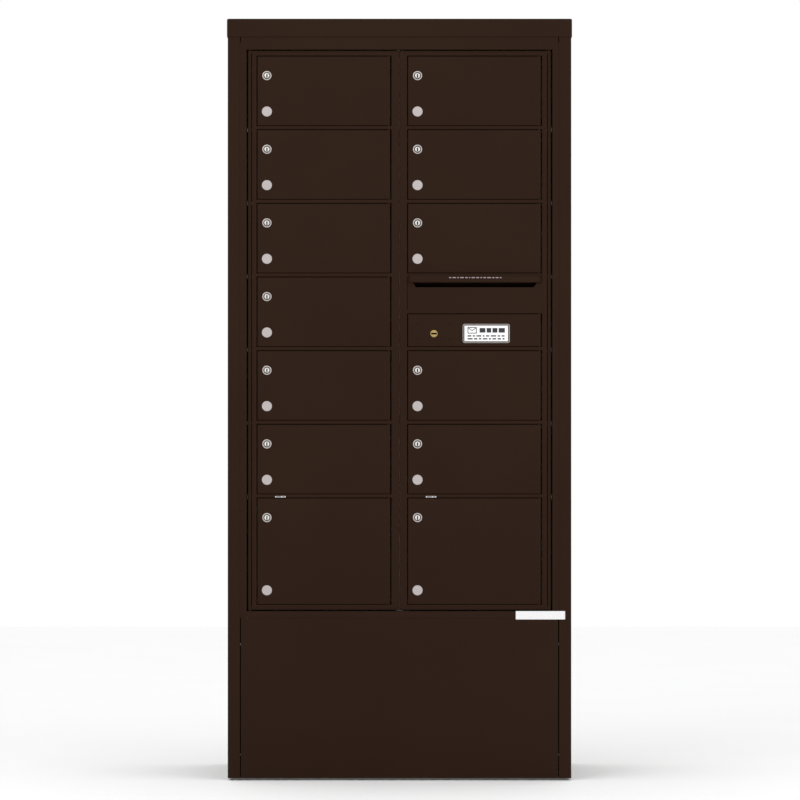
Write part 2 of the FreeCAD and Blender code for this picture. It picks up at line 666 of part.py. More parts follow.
def arrow_door():
    low, high = opening_span(arrow_unit(), 1)
    x, z = arrow_lock_place()
    cuts = [rod_y(ARROW_PLUG_RADIUS + RUNNING_FIT, x, z, FACE - 1, FACE + 5)]
    for sx, sz in stud_places():
        cuts.append(rod_y(STUD_RADIUS + SEAT_CLEARANCE, sx, sz, FACE - 1, FACE + 5))
    return door_pan(1, low, high).cut(cuts)


def stud_places():
    x, z = arrow_lock_place()
    across, up = STUD_SPACING
    middle = z + CASE_RISE
    return [(x + i * across / 2, middle + j * up / 2) for i in (-1, 1) for j in (-1, 1)]


def case_box():
    """Left, right, front, back, bottom and top of the lock case."""
    x, z = arrow_lock_place()
    middle = z + CASE_RISE
    back = BOLT_FRONT + BOLT_THICKNESS + CASE_BACK
    return (x - CASE_WIDTH / 2, x + CASE_WIDTH / 2, FACE + DOOR_SHEET, back,
            middle - CASE_HEIGHT / 2, middle + CASE_HEIGHT / 2)


def arrow_lock_case():
    """A hollow case held to the door by four riveted studs."""
    x0, x1, y0, y1, z0, z1 = case_box()
    x, z = arrow_lock_place()
    wall = CASE_WALL
    b0, b1 = BOLT_FRONT, BOLT_FRONT + BOLT_THICKNESS
    clear = BOLT_CLEARANCE
    half = BOLT_HEIGHT / 2 + clear
    cuts = [
        box(x0 + wall, x1 - wall, b0 - clear, b1 + clear, z0 + wall, z1 - wall),
        box(x0 - 1, x0 + wall + 1, b0 - clear, b1 + clear, z - half, z + half),
        rod_y(ARROW_PLUG_RADIUS + RUNNING_FIT, x, z, y0 - 1, b0),
    ]
    studs = [rod_y(STUD_RADIUS, sx, sz, FACE - STUD_PROUD, y0) for sx, sz in stud_places()]
    return joined([box(x0, x1, y0, y1, z0, z1).cut(cuts)] + studs)


def arrow_lock_plug():
    """The carrier's lock plug, with a level keyway and a drive pin that moves the bolt."""
    x, z = arrow_lock_place()
    b0 = BOLT_FRONT
    front = FACE - ARROW_PLUG_PROUD
    plug = rod_y(ARROW_PLUG_RADIUS, x, z, front, b0 - BOLT_CLEARANCE)
    plug = round_edges(plug, EDGE_RADIUS, lambda e: e.BoundBox.YMax < front + 1e-6)
    height, width, depth = ARROW_KEYWAY
    keyway = box(x - width / 2, x + width / 2, front - 1, front + depth, z - height / 2, z + height / 2)
    offset = DRIVE_PIN_OFFSET
    pin = rod_y(DRIVE_PIN_RADIUS, x + offset, z + offset, b0 - BOLT_CLEARANCE, b0 + DRIVE_PIN_LENGTH)
    return joined([plug.cut(keyway), pin])


def arrow_lock_bolt():
    """The bolt, drawn back. The plug's pin in its notch moves it left, behind the stile."""
    x, z = arrow_lock_place()
    b0, b1 = BOLT_FRONT, BOLT_FRONT + BOLT_THICKNESS
    tip = column_edges(1)[0] + BOLT_REACH
    half = BOLT_HEIGHT / 2
    pin_x = x + DRIVE_PIN_OFFSET
    shank = box(tip, pin_x + half, b0, b1, z - half, z + half)
    shank = round_edges(shank, EDGE_RADIUS, lambda e: e.BoundBox.XMax < tip + 1e-6 and is_vertical(e))
    tail = box(pin_x - half, pin_x + half, b0, b1, z - half, z + BOLT_TAIL)
    slack = DRIVE_PIN_RADIUS + BOLT_CLEARANCE
    notch = box(pin_x - slack, pin_x + slack, b0 - 1, b1 + 1,
                z + DRIVE_PIN_OFFSET - slack, z + BOLT_TAIL + 1)
    return joined([shank, tail]).cut(notch)


# ---------------------------------------------------------------- outgoing slot

def wedge(points, y0, y1):
    """A prism along Y from (x, z) points."""
    ring = [vec(px, y0, pz) for px, pz in points]
    ring.append(ring[0])
    return Part.Face(Part.makePolygon(ring)).extrude(vec(0, y1 - y0, 0))


def side_prism(points, x0, x1):
    """A prism along X from (y, z) points."""
    ring = [vec(x0, py, pz) for py, pz in points]
    ring.append(ring[0])
    return Part.Face(Part.makePolygon(ring)).extrude(vec(x1 - x0, 0, 0))


def outgoing_slot_panel():
    """A fixed panel with a slot under a hood, and a sloping baffle behind the slot."""
    low, high = opening_span(slot_unit(), 1)
    x0, x1 = column_edges(1)
    y1 = FACE + DOOR_SHEET
    plate = box(x0 + PANEL_FIT, x1 - PANEL_FIT, FACE, y1, low + PANEL_FIT, high - PANEL_FIT)
    edges = box(x0 + PANEL_FIT, x1 - PANEL_FIT, FACE, FACE + LIP_DEPTH, low + PANEL_FIT, high - PANEL_FIT)
    inner = box(x0 + PANEL_FIT + LIP_SHEET, x1 - PANEL_FIT - LIP_SHEET, FACE - 1, FACE + LIP_DEPTH + 1,
                low + PANEL_FIT + LIP_SHEET, high - PANEL_FIT - LIP_SHEET)
    top = high - SLOT_DROP
    foot = top - SLOT_HEIGHT
    slot = wedge([(x0 + SLOT_MARGIN, top), (x1 - SLOT_MARGIN, top),
                  (x1 - SLOT_MARGIN - SLOT_SLANT, foot), (x0 + SLOT_MARGIN + SLOT_SLANT, foot)],
                 FACE - 1, y1 + 1)
    crest = high + RAIL - HOOD_TOP_MARGIN
    brow_top = top + HOOD_BROW
    out = FACE - HOOD_PROUD
    near, far = x0 + HOOD_ENDS[0], x1 - HOOD_ENDS[1]
    hood = side_prism([(FACE, crest), (out, crest - HOOD_SLOPE), (out, brow_top), (out + SHEET, brow_top),
                       (out + SHEET, brow_top + HOOD_BROW), (FACE, brow_top + HOOD_BROW)], near, far)
    brow = box(near, far, out, FACE, top, brow_top)
    rise = top + BAFFLE_RISE
    end = y1 + BAFFLE_DEPTH
    slope = side_prism([(y1, rise), (end, rise - BAFFLE_DROP), (end, rise - BAFFLE_DROP + LIP_SHEET),
                        (y1, rise + LIP_SHEET)],
                       x0 + SLOT_MARGIN - BAFFLE_OVERLAP, x1 - SLOT_MARGIN + BAFFLE_OVERLAP)
    rod_way = rod_z(ROD_RADIUS + PANEL_FIT, tenant_pivot_x(1), PIVOT_Y, low - 1, high + 1)
    return joined([plate, edges.cut(inner), hood, brow, slope]).cut([slot, rod_way])


def mail_parts():
    """Every node of the object, by name."""
    nodes = {
        "left_side_panel": side_panel(-1),
        "right_side_panel": side_panel(1),
        "top_cap": top_cap(),
        "rear_panel": rear_panel(),
        "lower_front_panel": lower_front_panel(),
        "base_frame": base_frame(),
        "surround_trim": surround_trim(),
        "cabinet_screws": cabinet_screws(),
        "module_shell": module_shell(),
        "shelves_and_strikes": group(compartment_shelves() + strike_plates()),
        "outgoing_slot_panel": outgoing_slot_panel(),
        "arrow_door": arrow_door(),
        "arrow_lock_case": arrow_lock_case(),
        "arrow_lock_plug": arrow_lock_plug(),
        "arrow_lock_bolt": arrow_lock_bolt(),
    }
    for side, name in ((-1, "left"), (1, "right")):
        nodes[name + "_door_frame"] = door_frame(side)
        nodes[name + "_hinge_rods"] = hinge_rods(side)
        nodes[name + "_latch_bar"] = latch_bar(side)
        for number, first, units in tenant_rows(side):
            nodes["%s_door_%d" % (name, number)] = tenant_door(side, first, units)
            nodes["%s_lock_%d" % (name, number)] = lock_fittings(side, first, units)
            nodes["%s_cam_%d" % (name, number)] = lock_core(side, first, units)
    return nodes


def main():
    os.makedirs("parts", exist_ok=True)
    for name, shape in mail_parts().items():
        shape.exportStep("parts/%s.step" % name)


if __name__ == "__main__":
    main()
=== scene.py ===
import json
import math

import bmesh
import bpy
from bpy.props import FloatProperty, FloatVectorProperty, PointerProperty
from mathutils import Matrix, Vector


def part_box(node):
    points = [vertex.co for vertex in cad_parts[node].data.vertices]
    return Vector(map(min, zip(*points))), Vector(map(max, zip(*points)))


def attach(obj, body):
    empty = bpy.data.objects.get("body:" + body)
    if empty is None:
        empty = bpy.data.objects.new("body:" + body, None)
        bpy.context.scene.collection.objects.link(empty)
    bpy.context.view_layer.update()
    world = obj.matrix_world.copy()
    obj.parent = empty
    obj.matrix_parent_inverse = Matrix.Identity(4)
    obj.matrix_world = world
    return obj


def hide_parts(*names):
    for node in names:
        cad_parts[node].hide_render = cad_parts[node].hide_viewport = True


bl_info = {
    "name": "Cluster Mailbox Finish",
    "version": (1, 0, 0),
    "blender": (4, 5, 0),
    "location": "View3D > Sidebar > Mailbox",
    "description": "Builds the painted doors, locks, plates and stage of a floor-standing cluster mailbox",
    "category": "Object",
}

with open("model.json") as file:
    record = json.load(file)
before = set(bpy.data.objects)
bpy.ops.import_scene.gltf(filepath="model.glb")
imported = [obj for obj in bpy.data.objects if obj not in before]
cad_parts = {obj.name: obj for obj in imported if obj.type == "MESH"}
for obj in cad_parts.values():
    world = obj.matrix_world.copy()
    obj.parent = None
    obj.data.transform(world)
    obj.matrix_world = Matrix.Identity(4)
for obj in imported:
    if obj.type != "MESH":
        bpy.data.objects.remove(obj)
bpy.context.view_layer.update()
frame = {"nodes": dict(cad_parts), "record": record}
NODES = frame["nodes"]
BODY_OF = {node: body for body, nodes in frame["record"]["behaviour"]["bodies"].items() for node in nodes}
SLOT_OF = {part["node"]: part["material_slot"] for part in frame["record"]["subparts"]}
MM = 0.001
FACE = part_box("left_door_frame")[0].y       # the plane of the door faces
X, Y, Z = 0, 1, 2
SLOT_FINISHES = {
    "cabinet_paint": "bronze powder coat", "door_paint": "bronze powder coat",
    "inner_sheet": "mill aluminium", "base_steel": "grey primer", "bare_steel": "zinc plated steel",
    "lock_metal": "nickel plate", "lock_brass": "satin brass",
}
DOORS = sorted(node for node in NODES
               if node.startswith(("left_door_", "right_door_")) and node[-1].isdigit())
FRAME_LIP = 12.0 * MM       # folds round the openings of a master door
FRAME_FOLD = 22.0 * MM      # outer folds of a master door
CABINET_FOLD = 20.0 * MM    # folds of the trim and of the panel under it
PANEL_GAP = 0.15 * MM       # round the slot panel
CREST = 8.4 * MM            # top of the hood over the slot panel's opening
LABEL_RISE = 0.15 * MM


# ---------------------------------------------------------------- shader maths

class Link:
    """An output socket. Arithmetic on links adds Math nodes to the tree."""

    def __init__(self, tree, socket):
        self.tree = tree
        self.socket = socket

    def math(self, operation, *values):
        node = self.tree.nodes.new("ShaderNodeMath")
        node.operation = operation
        for socket, value in zip(node.inputs, values):
            feed(self.tree, socket, value)
        return Link(self.tree, node.outputs[0])

    def __add__(self, other):
        return self.math("ADD", self, other)

    def __radd__(self, other):
        return self.math("ADD", other, self)

    def __rsub__(self, other):
        return self.math("SUBTRACT", other, self)

    def __mul__(self, other):
        return self.math("MULTIPLY", self, other)

    def __rmul__(self, other):
        return self.math("MULTIPLY", other, self)

    def ramp(self, low, high):
        """0 below low, 1 above high, and smooth between them."""
        node = self.tree.nodes.new("ShaderNodeMapRange")
        node.interpolation_type = "SMOOTHSTEP"
        feed(self.tree, node.inputs["Value"], self)
        node.inputs["From Min"].default_value = low
        node.inputs["From Max"].default_value = high
        return Link(self.tree, node.outputs["Result"])


def feed(tree, socket, value):
    """Link a socket, or set it."""
    if isinstance(value, Link):
        tree.links.new(value.socket, socket)
    else:
        socket.default_value = value


class Finish:
    """A material in the making: a Principled shader and the nodes that vary it."""

    def __init__(self, name, **constants):
        self.material = bpy.data.materials.new(name)
        self.material.use_nodes = True
        self.tree = self.material.node_tree
        self.shader = self.tree.nodes["Principled BSDF"]
        for socket, value in constants.items():
            self.shader.inputs[socket.replace("_", " ")].default_value = value
        self.place = self.node("ShaderNodeTexCoord", output="Object")

    def node(self, kind, output=0, **inputs):
        """Any node, with the values or links of its sockets."""
        node = self.tree.nodes.new(kind)
        for name, value in inputs.items():
            feed(self.tree, node.inputs[name.replace("_", " ")], value)
        return Link(self.tree, node.outputs[output])

    def noise(self, scale, detail, at=None):
        return self.node("ShaderNodeTexNoise", Vector=at or self.place, Scale=scale, Detail=detail)

    def stretched(self, scale):
        return self.node("ShaderNodeMapping", Vector=self.place, Scale=scale)

    def axis(self, name):
        return self.node("ShaderNodeSeparateXYZ", output=name, Vector=self.place)

    def mix(self, factor, first, second):
        node = self.tree.nodes.new("ShaderNodeMix")
        node.data_type = "RGBA"
        feed(self.tree, node.inputs["Factor"], factor)
        feed(self.tree, node.inputs[6], first)
        feed(self.tree, node.inputs[7], second)
        return Link(self.tree, node.outputs[2])

    def colour(self, value):
        feed(self.tree, self.shader.inputs["Base Color"], value)

    def roughness(self, value):
        feed(self.tree, self.shader.inputs["Roughness"], value)

    def bump(self, height, distance, strength):
        normal = self.node("ShaderNodeBump", Height=height, Distance=distance, Strength=strength)
        feed(self.tree, self.shader.inputs["Normal"], normal)


def rgba(colour, level=1.0):
    return (colour[0] * level, colour[1] * level, colour[2] * level, 1.0)


def powder_coat(name, colour, gloss):
    """Baked powder: a fine orange-peel skin, clouded a little, with faint light flecks."""
    paint = Finish(name, Metallic=0.0, IOR=1.5, Specular_IOR_Level=0.18, Specular_Tint=(0.6, 0.4, 0.33, 1.0))
    clouds = paint.noise(2.6, detail=3.0).ramp(0.3, 0.7)
    grain = paint.noise(420.0, detail=2.0)
    base = paint.mix(clouds, rgba(colour, 0.94), rgba(colour, 1.06))
    flecks = paint.noise(1500.0, detail=1.0).ramp(0.66, 0.74)
    paint.colour(paint.mix(flecks * 0.35, base, rgba(colour, 2.2)))
    paint.roughness(gloss + 0.05 * clouds + 0.06 * grain)
    peel = paint.noise(260.0, detail=1.5)
    paint.bump(peel * 0.7 + grain * 0.3, 0.00012, 0.35)
    return paint.material


def plain_skin(name, colour, gloss, sheen=0.4):
    """Enamel, ink or paper: an even colour with faint mottling."""
    skin = Finish(name, Metallic=0.0, Specular_IOR_Level=sheen)
    mottle = skin.noise(180.0, detail=3.0)
    skin.colour(skin.mix(mottle, rgba(colour, 0.96), rgba(colour, 1.03)))
    skin.roughness(gloss + 0.08 * mottle)
    skin.bump(mottle, 0.00002, 0.2)
    return skin.material


def brushed_metal(name, colour, rough, grain=(900.0, 900.0, 12.0), level=0.05):
    """Drawn or brushed metal, its lines along the axis that the grain stretches least."""
    metal = Finish(name, Metallic=1.0)
    lines = metal.noise(1.0, detail=3.0, at=metal.stretched(grain))
    cloud = metal.noise(9.0, detail=3.0)
    metal.colour(metal.mix(lines * 0.6 + cloud * 0.4, rgba(colour, 0.82), rgba(colour, 1.1)))
    metal.roughness(rough + level * 2.0 * lines + 0.08 * cloud)
    metal.bump(lines, 0.00004, 0.25)
    return metal.material


def sheet_aluminium(name, colour):
    """Mill-finish sheet with long rolling lines and matt patches."""
    metal = Finish(name, Metallic=1.0)
    lines = metal.noise(1.0, detail=4.0, at=metal.stretched((700.0, 5.0, 700.0)))
    patches = metal.noise(5.0, detail=4.0).ramp(0.35, 0.75)
    metal.colour(metal.mix(patches, rgba(colour, 0.9), rgba(colour, 1.05)))
    metal.roughness(0.36 + 0.12 * patches + 0.08 * lines)
    metal.bump(lines, 0.00003, 0.2)
    return metal.material


def primer_grey(name, colour):
    """Flat grey primer over steel plate, darker in patches along its lowest 4 mm, where it meets the floor.
    """
    primer = Finish(name, Metallic=0.0)
    speck = primer.noise(300.0, detail=3.0)
    height = primer.axis("Z")
    # darker in noisy patches over the lowest 4 mm, where the base meets the floor
    low_dark_patches = (1.0 - height.ramp(0.0, 0.004)) * primer.noise(60.0, detail=4.0).ramp(0.45, 0.6)
    primer.colour(primer.mix(low_dark_patches, primer.mix(speck, rgba(colour, 0.9), rgba(colour, 1.08)),
                             rgba(colour, 0.55)))
    primer.roughness(0.55 + 0.15 * speck)
    primer.bump(speck, 0.0001, 0.4)
    return primer.material


# ---------------------------------------------------------------- settings

def tint(name, description, value):
    return FloatVectorProperty(name=name, description=description, default=value, min=0.0, max=1.0,
                               subtype="COLOR")


def length(name, description, millimetres):
    """A setting kept in metres, with its default in millimetres."""
    return FloatProperty(name=name, description=description, default=millimetres * MM, min=0.0,
                         unit="LENGTH")


class MailboxPaintSettings(bpy.types.PropertyGroup):
    """Colours and gloss of the finishes."""
    bronze: tint("Bronze", "Powder coat of the cabinet and the doors", (0.0165, 0.0078, 0.0042))
    bronze_gloss: FloatProperty(
        name="Bronze roughness", description="Roughness of the powder coat", default=0.46,
        min=0.0, max=1.0, subtype="FACTOR")
    nickel: tint("Nickel", "Plated lock heads and the rim of the mail plate", (0.50, 0.46, 0.44))
    disc: tint("Discs", "Number discs", (0.47, 0.43, 0.425))
    bright: tint("Bright nickel", "Polished lock plugs", (0.78, 0.75, 0.73))
    brass: tint("Brass", "The carrier's lock", (0.46, 0.33, 0.13))
    zinc: tint("Zinc", "Plated screws and bolts", (0.42, 0.42, 0.43))
    primer: tint("Primer", "The base frame", (0.30, 0.30, 0.30))


class MailboxSizes(bpy.types.PropertyGroup):
    """Sizes of the fittings, in metres."""
    door_sheet: length("Door sheet", "Thickness of a door's face", 2.0)
    door_wall: length("Door edge", "Thickness of a door's folded edges", 1.5)
    door_edge: length("Edge radius", "Rounding of a door's edges", 1.3)
    pivot_inset: length("Hinge inset", "Hinge axis from a door's right edge", 3.5)
    pivot_depth: length("Hinge depth", "Hinge axis behind a door's face", 4.0)
    barrel: length("Hinge barrel", "Radius of a rolled hinge barrel", 3.0)
    barrel_bore: length("Hinge bore", "Radius of its bore", 2.05)
    frame_gauge: length("Frame gauge", "Thickness of a master door's sheet", 1.5)
    frame_edge: length("Frame radius", "Rounding of the folds round each door", 1.6)
    lock_head: length("Lock head", "Height of a lock head over its door", 2.2)
    lock_radius: length("Lock head radius", "Radius of a lock head", 11.25)
    lock_barrel: length("Lock barrel", "Radius of a lock barrel", 9.4)
    plug: length("Plug", "Radius of a lock plug", 6.0)
    disc: length("Number disc", "Radius of a number disc", 12.2)
    carrier_plug: length("Carrier's plug", "Radius of the brass plug", 8.7)
    plate_width: length("Plate width", "Width of the mail plate", 113.5)
    plate_height: length("Plate height", "Height of the mail plate", 46.0)


class MailboxStageSettings(bpy.types.PropertyGroup):
    """Camera and light."""
    field: FloatProperty(
        name="Field", description="Width seen at the door faces", default=1.931, min=0.1,
        unit="LENGTH", subtype="DISTANCE")
    lens: FloatProperty(
        name="Lens", description="Focal length in millimetres", default=200.0, min=20.0,
        subtype="DISTANCE_CAMERA")
    eye_height: FloatProperty(
        name="Eye height", description="Height of the camera over the floor", default=0.918, min=0.0,
        unit="LENGTH", subtype="DISTANCE")
    world_light: FloatProperty(
        name="World light", description="Strength of the even white light", default=1.0, min=0.0)


def coat(obj, name):
    """Give an object one finish."""
    obj.data.materials.clear()
    obj.data.materials.append(bpy.data.materials[name])


# ---------------------------------------------------------------- shaping by hand

def only(*objects):
    """Select these objects alone, with the first one active."""
    bpy.ops.object.select_all(action="DESELECT")
    for obj in objects:
        obj.select_set(True)
    bpy.context.view_layer.objects.active = objects[0]


def settled(name):
    """Name the new primitive and put its place into its mesh."""
    obj = bpy.context.object
    obj.name = name
    obj.data.name = name
    bpy.ops.object.transform_apply(location=True, rotation=True, scale=True)
    return obj


def block(name, low, high, turn=0.0):
    """A box between two corners, turned about its middle in the plane of the doors."""
    low, high = Vector(low), Vector(high)
    bpy.ops.object.select_all(action="DESELECT")
    bpy.ops.mesh.primitive_cube_add(size=1.0, location=(low + high) / 2, rotation=(0.0, turn, 0.0),
                                    scale=high - low)
    return settled(name)


def flat_sheet(name, low, high, y):
    """A rectangle that faces the front, from its lower left to its upper right (x, z)."""
    middle = ((low[0] + high[0]) / 2, y, (low[1] + high[1]) / 2)
    bpy.ops.object.select_all(action="DESELECT")
    bpy.ops.mesh.primitive_plane_add(size=1.0, location=middle, rotation=(math.pi / 2, 0.0, 0.0))
    bpy.context.object.scale = (high[0] - low[0], high[1] - low[1], 1.0)
    return settled(name)


def drum(name, radius, place, front, back, sides=64, turn=0.0):
    """A cylinder along Y at (x, z), between two depths."""
    bpy.ops.object.select_all(action="DESELECT")
    bpy.ops.mesh.primitive_cylinder_add(
        vertices=sides, radius=radius, depth=back - front, rotation=(math.pi / 2, turn, 0.0),
        location=(place[0], (front + back) / 2, place[1]))
    return settled(name)


def upright(name, radius, x, y, low, high):
    """A cylinder along Z."""
    bpy.ops.object.select_all(action="DESELECT")
    bpy.ops.mesh.primitive_cylinder_add(vertices=32, radius=radius, depth=high - low,
                                        location=(x, y, (low + high) / 2))
    return settled(name)


def pick(obj, kind, wanted):
    """Enter edit mode with only the wanted faces or edges selected."""
    only(obj)
    bpy.ops.object.mode_set(mode="EDIT")
    bpy.ops.mesh.select_mode(type=kind)
    bpy.ops.mesh.select_all(action="DESELECT")
    mesh = bmesh.from_edit_mesh(obj.data)
    for item in (mesh.faces if kind == "FACE" else mesh.edges):
        if wanted(item):
            item.select_set(True)
    bmesh.update_edit_mesh(obj.data)


def leave():
    bpy.ops.object.mode_set(mode="OBJECT")


def lies(item, axis, level):
    """Whether a face or an edge lies in the plane where axis = level."""
    return all(abs(vert.co[axis] - level) < 0.01 * MM for vert in item.verts)


def runs(edge, axis):
    """Whether an edge runs along an axis."""
    span = edge.verts[1].co - edge.verts[0].co
    return abs(span[axis]) > 0.999 * span.length


def round_off(obj, radius, wanted, segments=3):
    """Bevel the wanted edges."""
    pick(obj, "EDGE", wanted)
    bpy.ops.mesh.bevel(offset=radius, segments=segments, affect="EDGES")
    leave()


def step_in(obj, wanted, *steps):
    """Inset the wanted faces again and again: each step is its width, and how far it rises."""
    pick(obj, "FACE", wanted)
    for width, rise in steps:
        bpy.ops.mesh.inset(thickness=width, depth=rise)
    leave()


def push(obj, kind, wanted, way):
    """Extrude the wanted faces or edges."""
    pick(obj, kind, wanted)
    operator = bpy.ops.mesh.extrude_region_move if kind == "FACE" else bpy.ops.mesh.extrude_edges_move
    operator(TRANSFORM_OT_translate={"value": way})
    leave()


def drop_faces(obj, wanted):
    pick(obj, "FACE", wanted)
    bpy.ops.mesh.delete(type="FACE")
    leave()


def weld(obj):
    """Merge doubled points."""
    only(obj)
    bpy.ops.object.mode_set(mode="EDIT")
    bpy.ops.mesh.select_all(action="SELECT")
    bpy.ops.mesh.remove_doubles(threshold=0.01 * MM)
    leave()


def apply_modifier(obj, kind, **settings):
    only(obj)
    modifier = obj.modifiers.new(kind.lower(), kind)
    for name, value in settings.items():
        setattr(modifier, name, value)
    bpy.ops.object.modifier_apply(modifier=modifier.name)


def carve(obj, *cutters):
    """Cut shapes out of an object and drop them."""
    for cutter in cutters:
        apply_modifier(obj, "BOOLEAN", operation="DIFFERENCE", solver="EXACT", object=cutter)
        bpy.data.objects.remove(cutter, do_unlink=True)


def joined(*objects):
    """Several shapes as one object, which keeps the first one's name."""
    only(*objects)
    bpy.ops.object.join()
    return objects[0]


def twin(obj, name, shift):
    """A copy with its own mesh, moved by a vector."""
    copy = bpy.data.objects.new(name, obj.data.copy())
    copy.data.name = name
    copy.data.transform(Matrix.Translation(shift))
    bpy.context.collection.objects.link(copy)
    return copy


def cut_sheet(name, low, high, y, openings, lip, folds):
    """A sheet that faces the front, with the edges of its openings and its outer edges turned back.

    low and high are (x, z) corners, openings is a list of such pairs, lip is the depth of the folds
    round the openings, and folds is the depth at the left, right, bottom and top edges.
    """
    obj = flat_sheet(name, low, high, y)
    only(obj)
    bpy.ops.object.mode_set(mode="EDIT")
    for axis, normal in ((0, (1.0, 0.0, 0.0)), (1, (0.0, 0.0, 1.0))):
        for level in sorted({corner[axis] for opening in openings for corner in opening}):
            bpy.ops.mesh.select_all(action="SELECT")
            place = (level, 0.0, 0.0) if axis == 0 else (0.0, 0.0, level)
            bpy.ops.mesh.bisect(plane_co=place, plane_no=normal)
    leave()

    def in_opening(face):
        middle = face.calc_center_median()
        return any(a[0] < middle.x < b[0] and a[1] < middle.z < b[1] for a, b in openings)

    if openings:
        push(obj, "FACE", in_opening, (0.0, lip, 0.0))
        drop_faces(obj, lambda face: lies(face, Y, y + lip))
    edges = ((X, low[0]), (X, high[0]), (Z, low[1]), (Z, high[1]))
    for (axis, level), depth in zip(edges, folds):
        if depth:
            push(obj, "EDGE", lambda e: e.is_boundary and lies(e, axis, level) and lies(e, Y, y),
                 (0.0, depth, 0.0))
    return obj


def thicken(obj, y, gauge, radius, rounded=lambda edge: True):
    """Round the folds of a cut sheet and give it its gauge."""
    weld(obj)
    if radius:
        round_off(obj, radius, lambda e: lies(e, Y, y) and not e.is_boundary
                  and e.calc_face_angle(0.0) > 1.0 and rounded(e))
    apply_modifier(obj, "SOLIDIFY", thickness=gauge, offset=-1.0, use_even_offset=True)


def finished(obj, body, slot, nodes=(), material=None):
    """Smooth a piece, coat it, parent it to its body's empty, and hide the nodes that it replaces."""
    only(obj)
    bpy.ops.object.shade_smooth_by_angle(angle=math.radians(32.0))
    coat(obj, material or SLOT_FINISHES[slot])
    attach(obj, body)
    if nodes:
        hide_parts(*nodes)


def stands_for(obj, node, material=None):
    """Finish a piece that takes a node's place."""
    finished(obj, BODY_OF[node], SLOT_OF[node], [node], material)


def lock_place(lock):
    """(x, z) of the axis of a tenant lock, under the flats of its nut."""
    low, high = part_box(lock)
    return (low.x + high.x) / 2, high.z - 12.0 * MM


# ---------------------------------------------------------------- operators

class MAILBOX_OT_finishes(bpy.types.Operator):
    """Make the paints and metals"""
    bl_idname = "mailbox.finishes"
    bl_label = "Make finishes"

    def execute(self, context):
        paint = context.scene.mailbox_paint
        powder_coat("bronze powder coat", paint.bronze, paint.bronze_gloss)
        brushed_metal("zinc plated steel", paint.zinc, 0.32)
        # painted shade: near-black steel for the hinge rods and latch bars, far darker than their zinc
        # plate, standing in for the shade in the door gaps where they show
        brushed_metal("painted shade steel", (0.045, 0.042, 0.04), 0.4)
        brushed_metal("nickel plate", paint.nickel, 0.28, (500.0, 500.0, 500.0))
        brushed_metal("satin brass", paint.brass, 0.3, (400.0, 400.0, 400.0))
        sheet_aluminium("mill aluminium", (0.42, 0.42, 0.425))
        primer_grey("grey primer", paint.primer)
        brushed_metal("satin nickel disc", paint.disc, 0.42, (380.0, 380.0, 380.0), 0.04)
        brushed_metal("satin nickel rim", paint.nickel, 0.36, (380.0, 380.0, 380.0), 0.04)
        brushed_metal("bright nickel", paint.bright, 0.18, (300.0, 300.0, 300.0), 0.03)
        # painted shade: dark nickel for the ring on the floor of each lock head's hollow
        brushed_metal("painted shade nickel", (0.10, 0.09, 0.085), 0.5, (380.0, 380.0, 380.0), 0.04)
        # painted shade: near-black with almost no sheen, put in the keyways and in the groove round the mail
        # plate's rim, where shade falls
        plain_skin("painted shade black", (0.004, 0.003, 0.003), 0.8, 0.02)
        plain_skin("white enamel", (0.82, 0.82, 0.83), 0.3)
        plain_skin("white label", (0.74, 0.73, 0.74), 0.55)
        plain_skin("pale ink", (0.30, 0.25, 0.25), 0.6)
        plain_skin("dark ink", (0.022, 0.02, 0.024), 0.5)
        return {"FINISHED"}


class MAILBOX_OT_frame_finishes(bpy.types.Operator):
    """Give every metalwork node its finish; the hinge rods and latch bars get near-black steel, painted
    shade for the door gaps that they show through
    """
    bl_idname = "mailbox.frame_finishes"
    bl_label = "Finish the metalwork"

    def execute(self, context):
        for node, slot in SLOT_OF.items():
            # painted shade: the hinge rods and latch bars take the near-black steel, as shade in the gaps
            # where they show
            seen_in_shade = node.endswith(("_rods", "_latch_bar"))
            coat(NODES[node], "painted shade steel" if seen_in_shade else SLOT_FINISHES[slot])
        return {"FINISHED"}


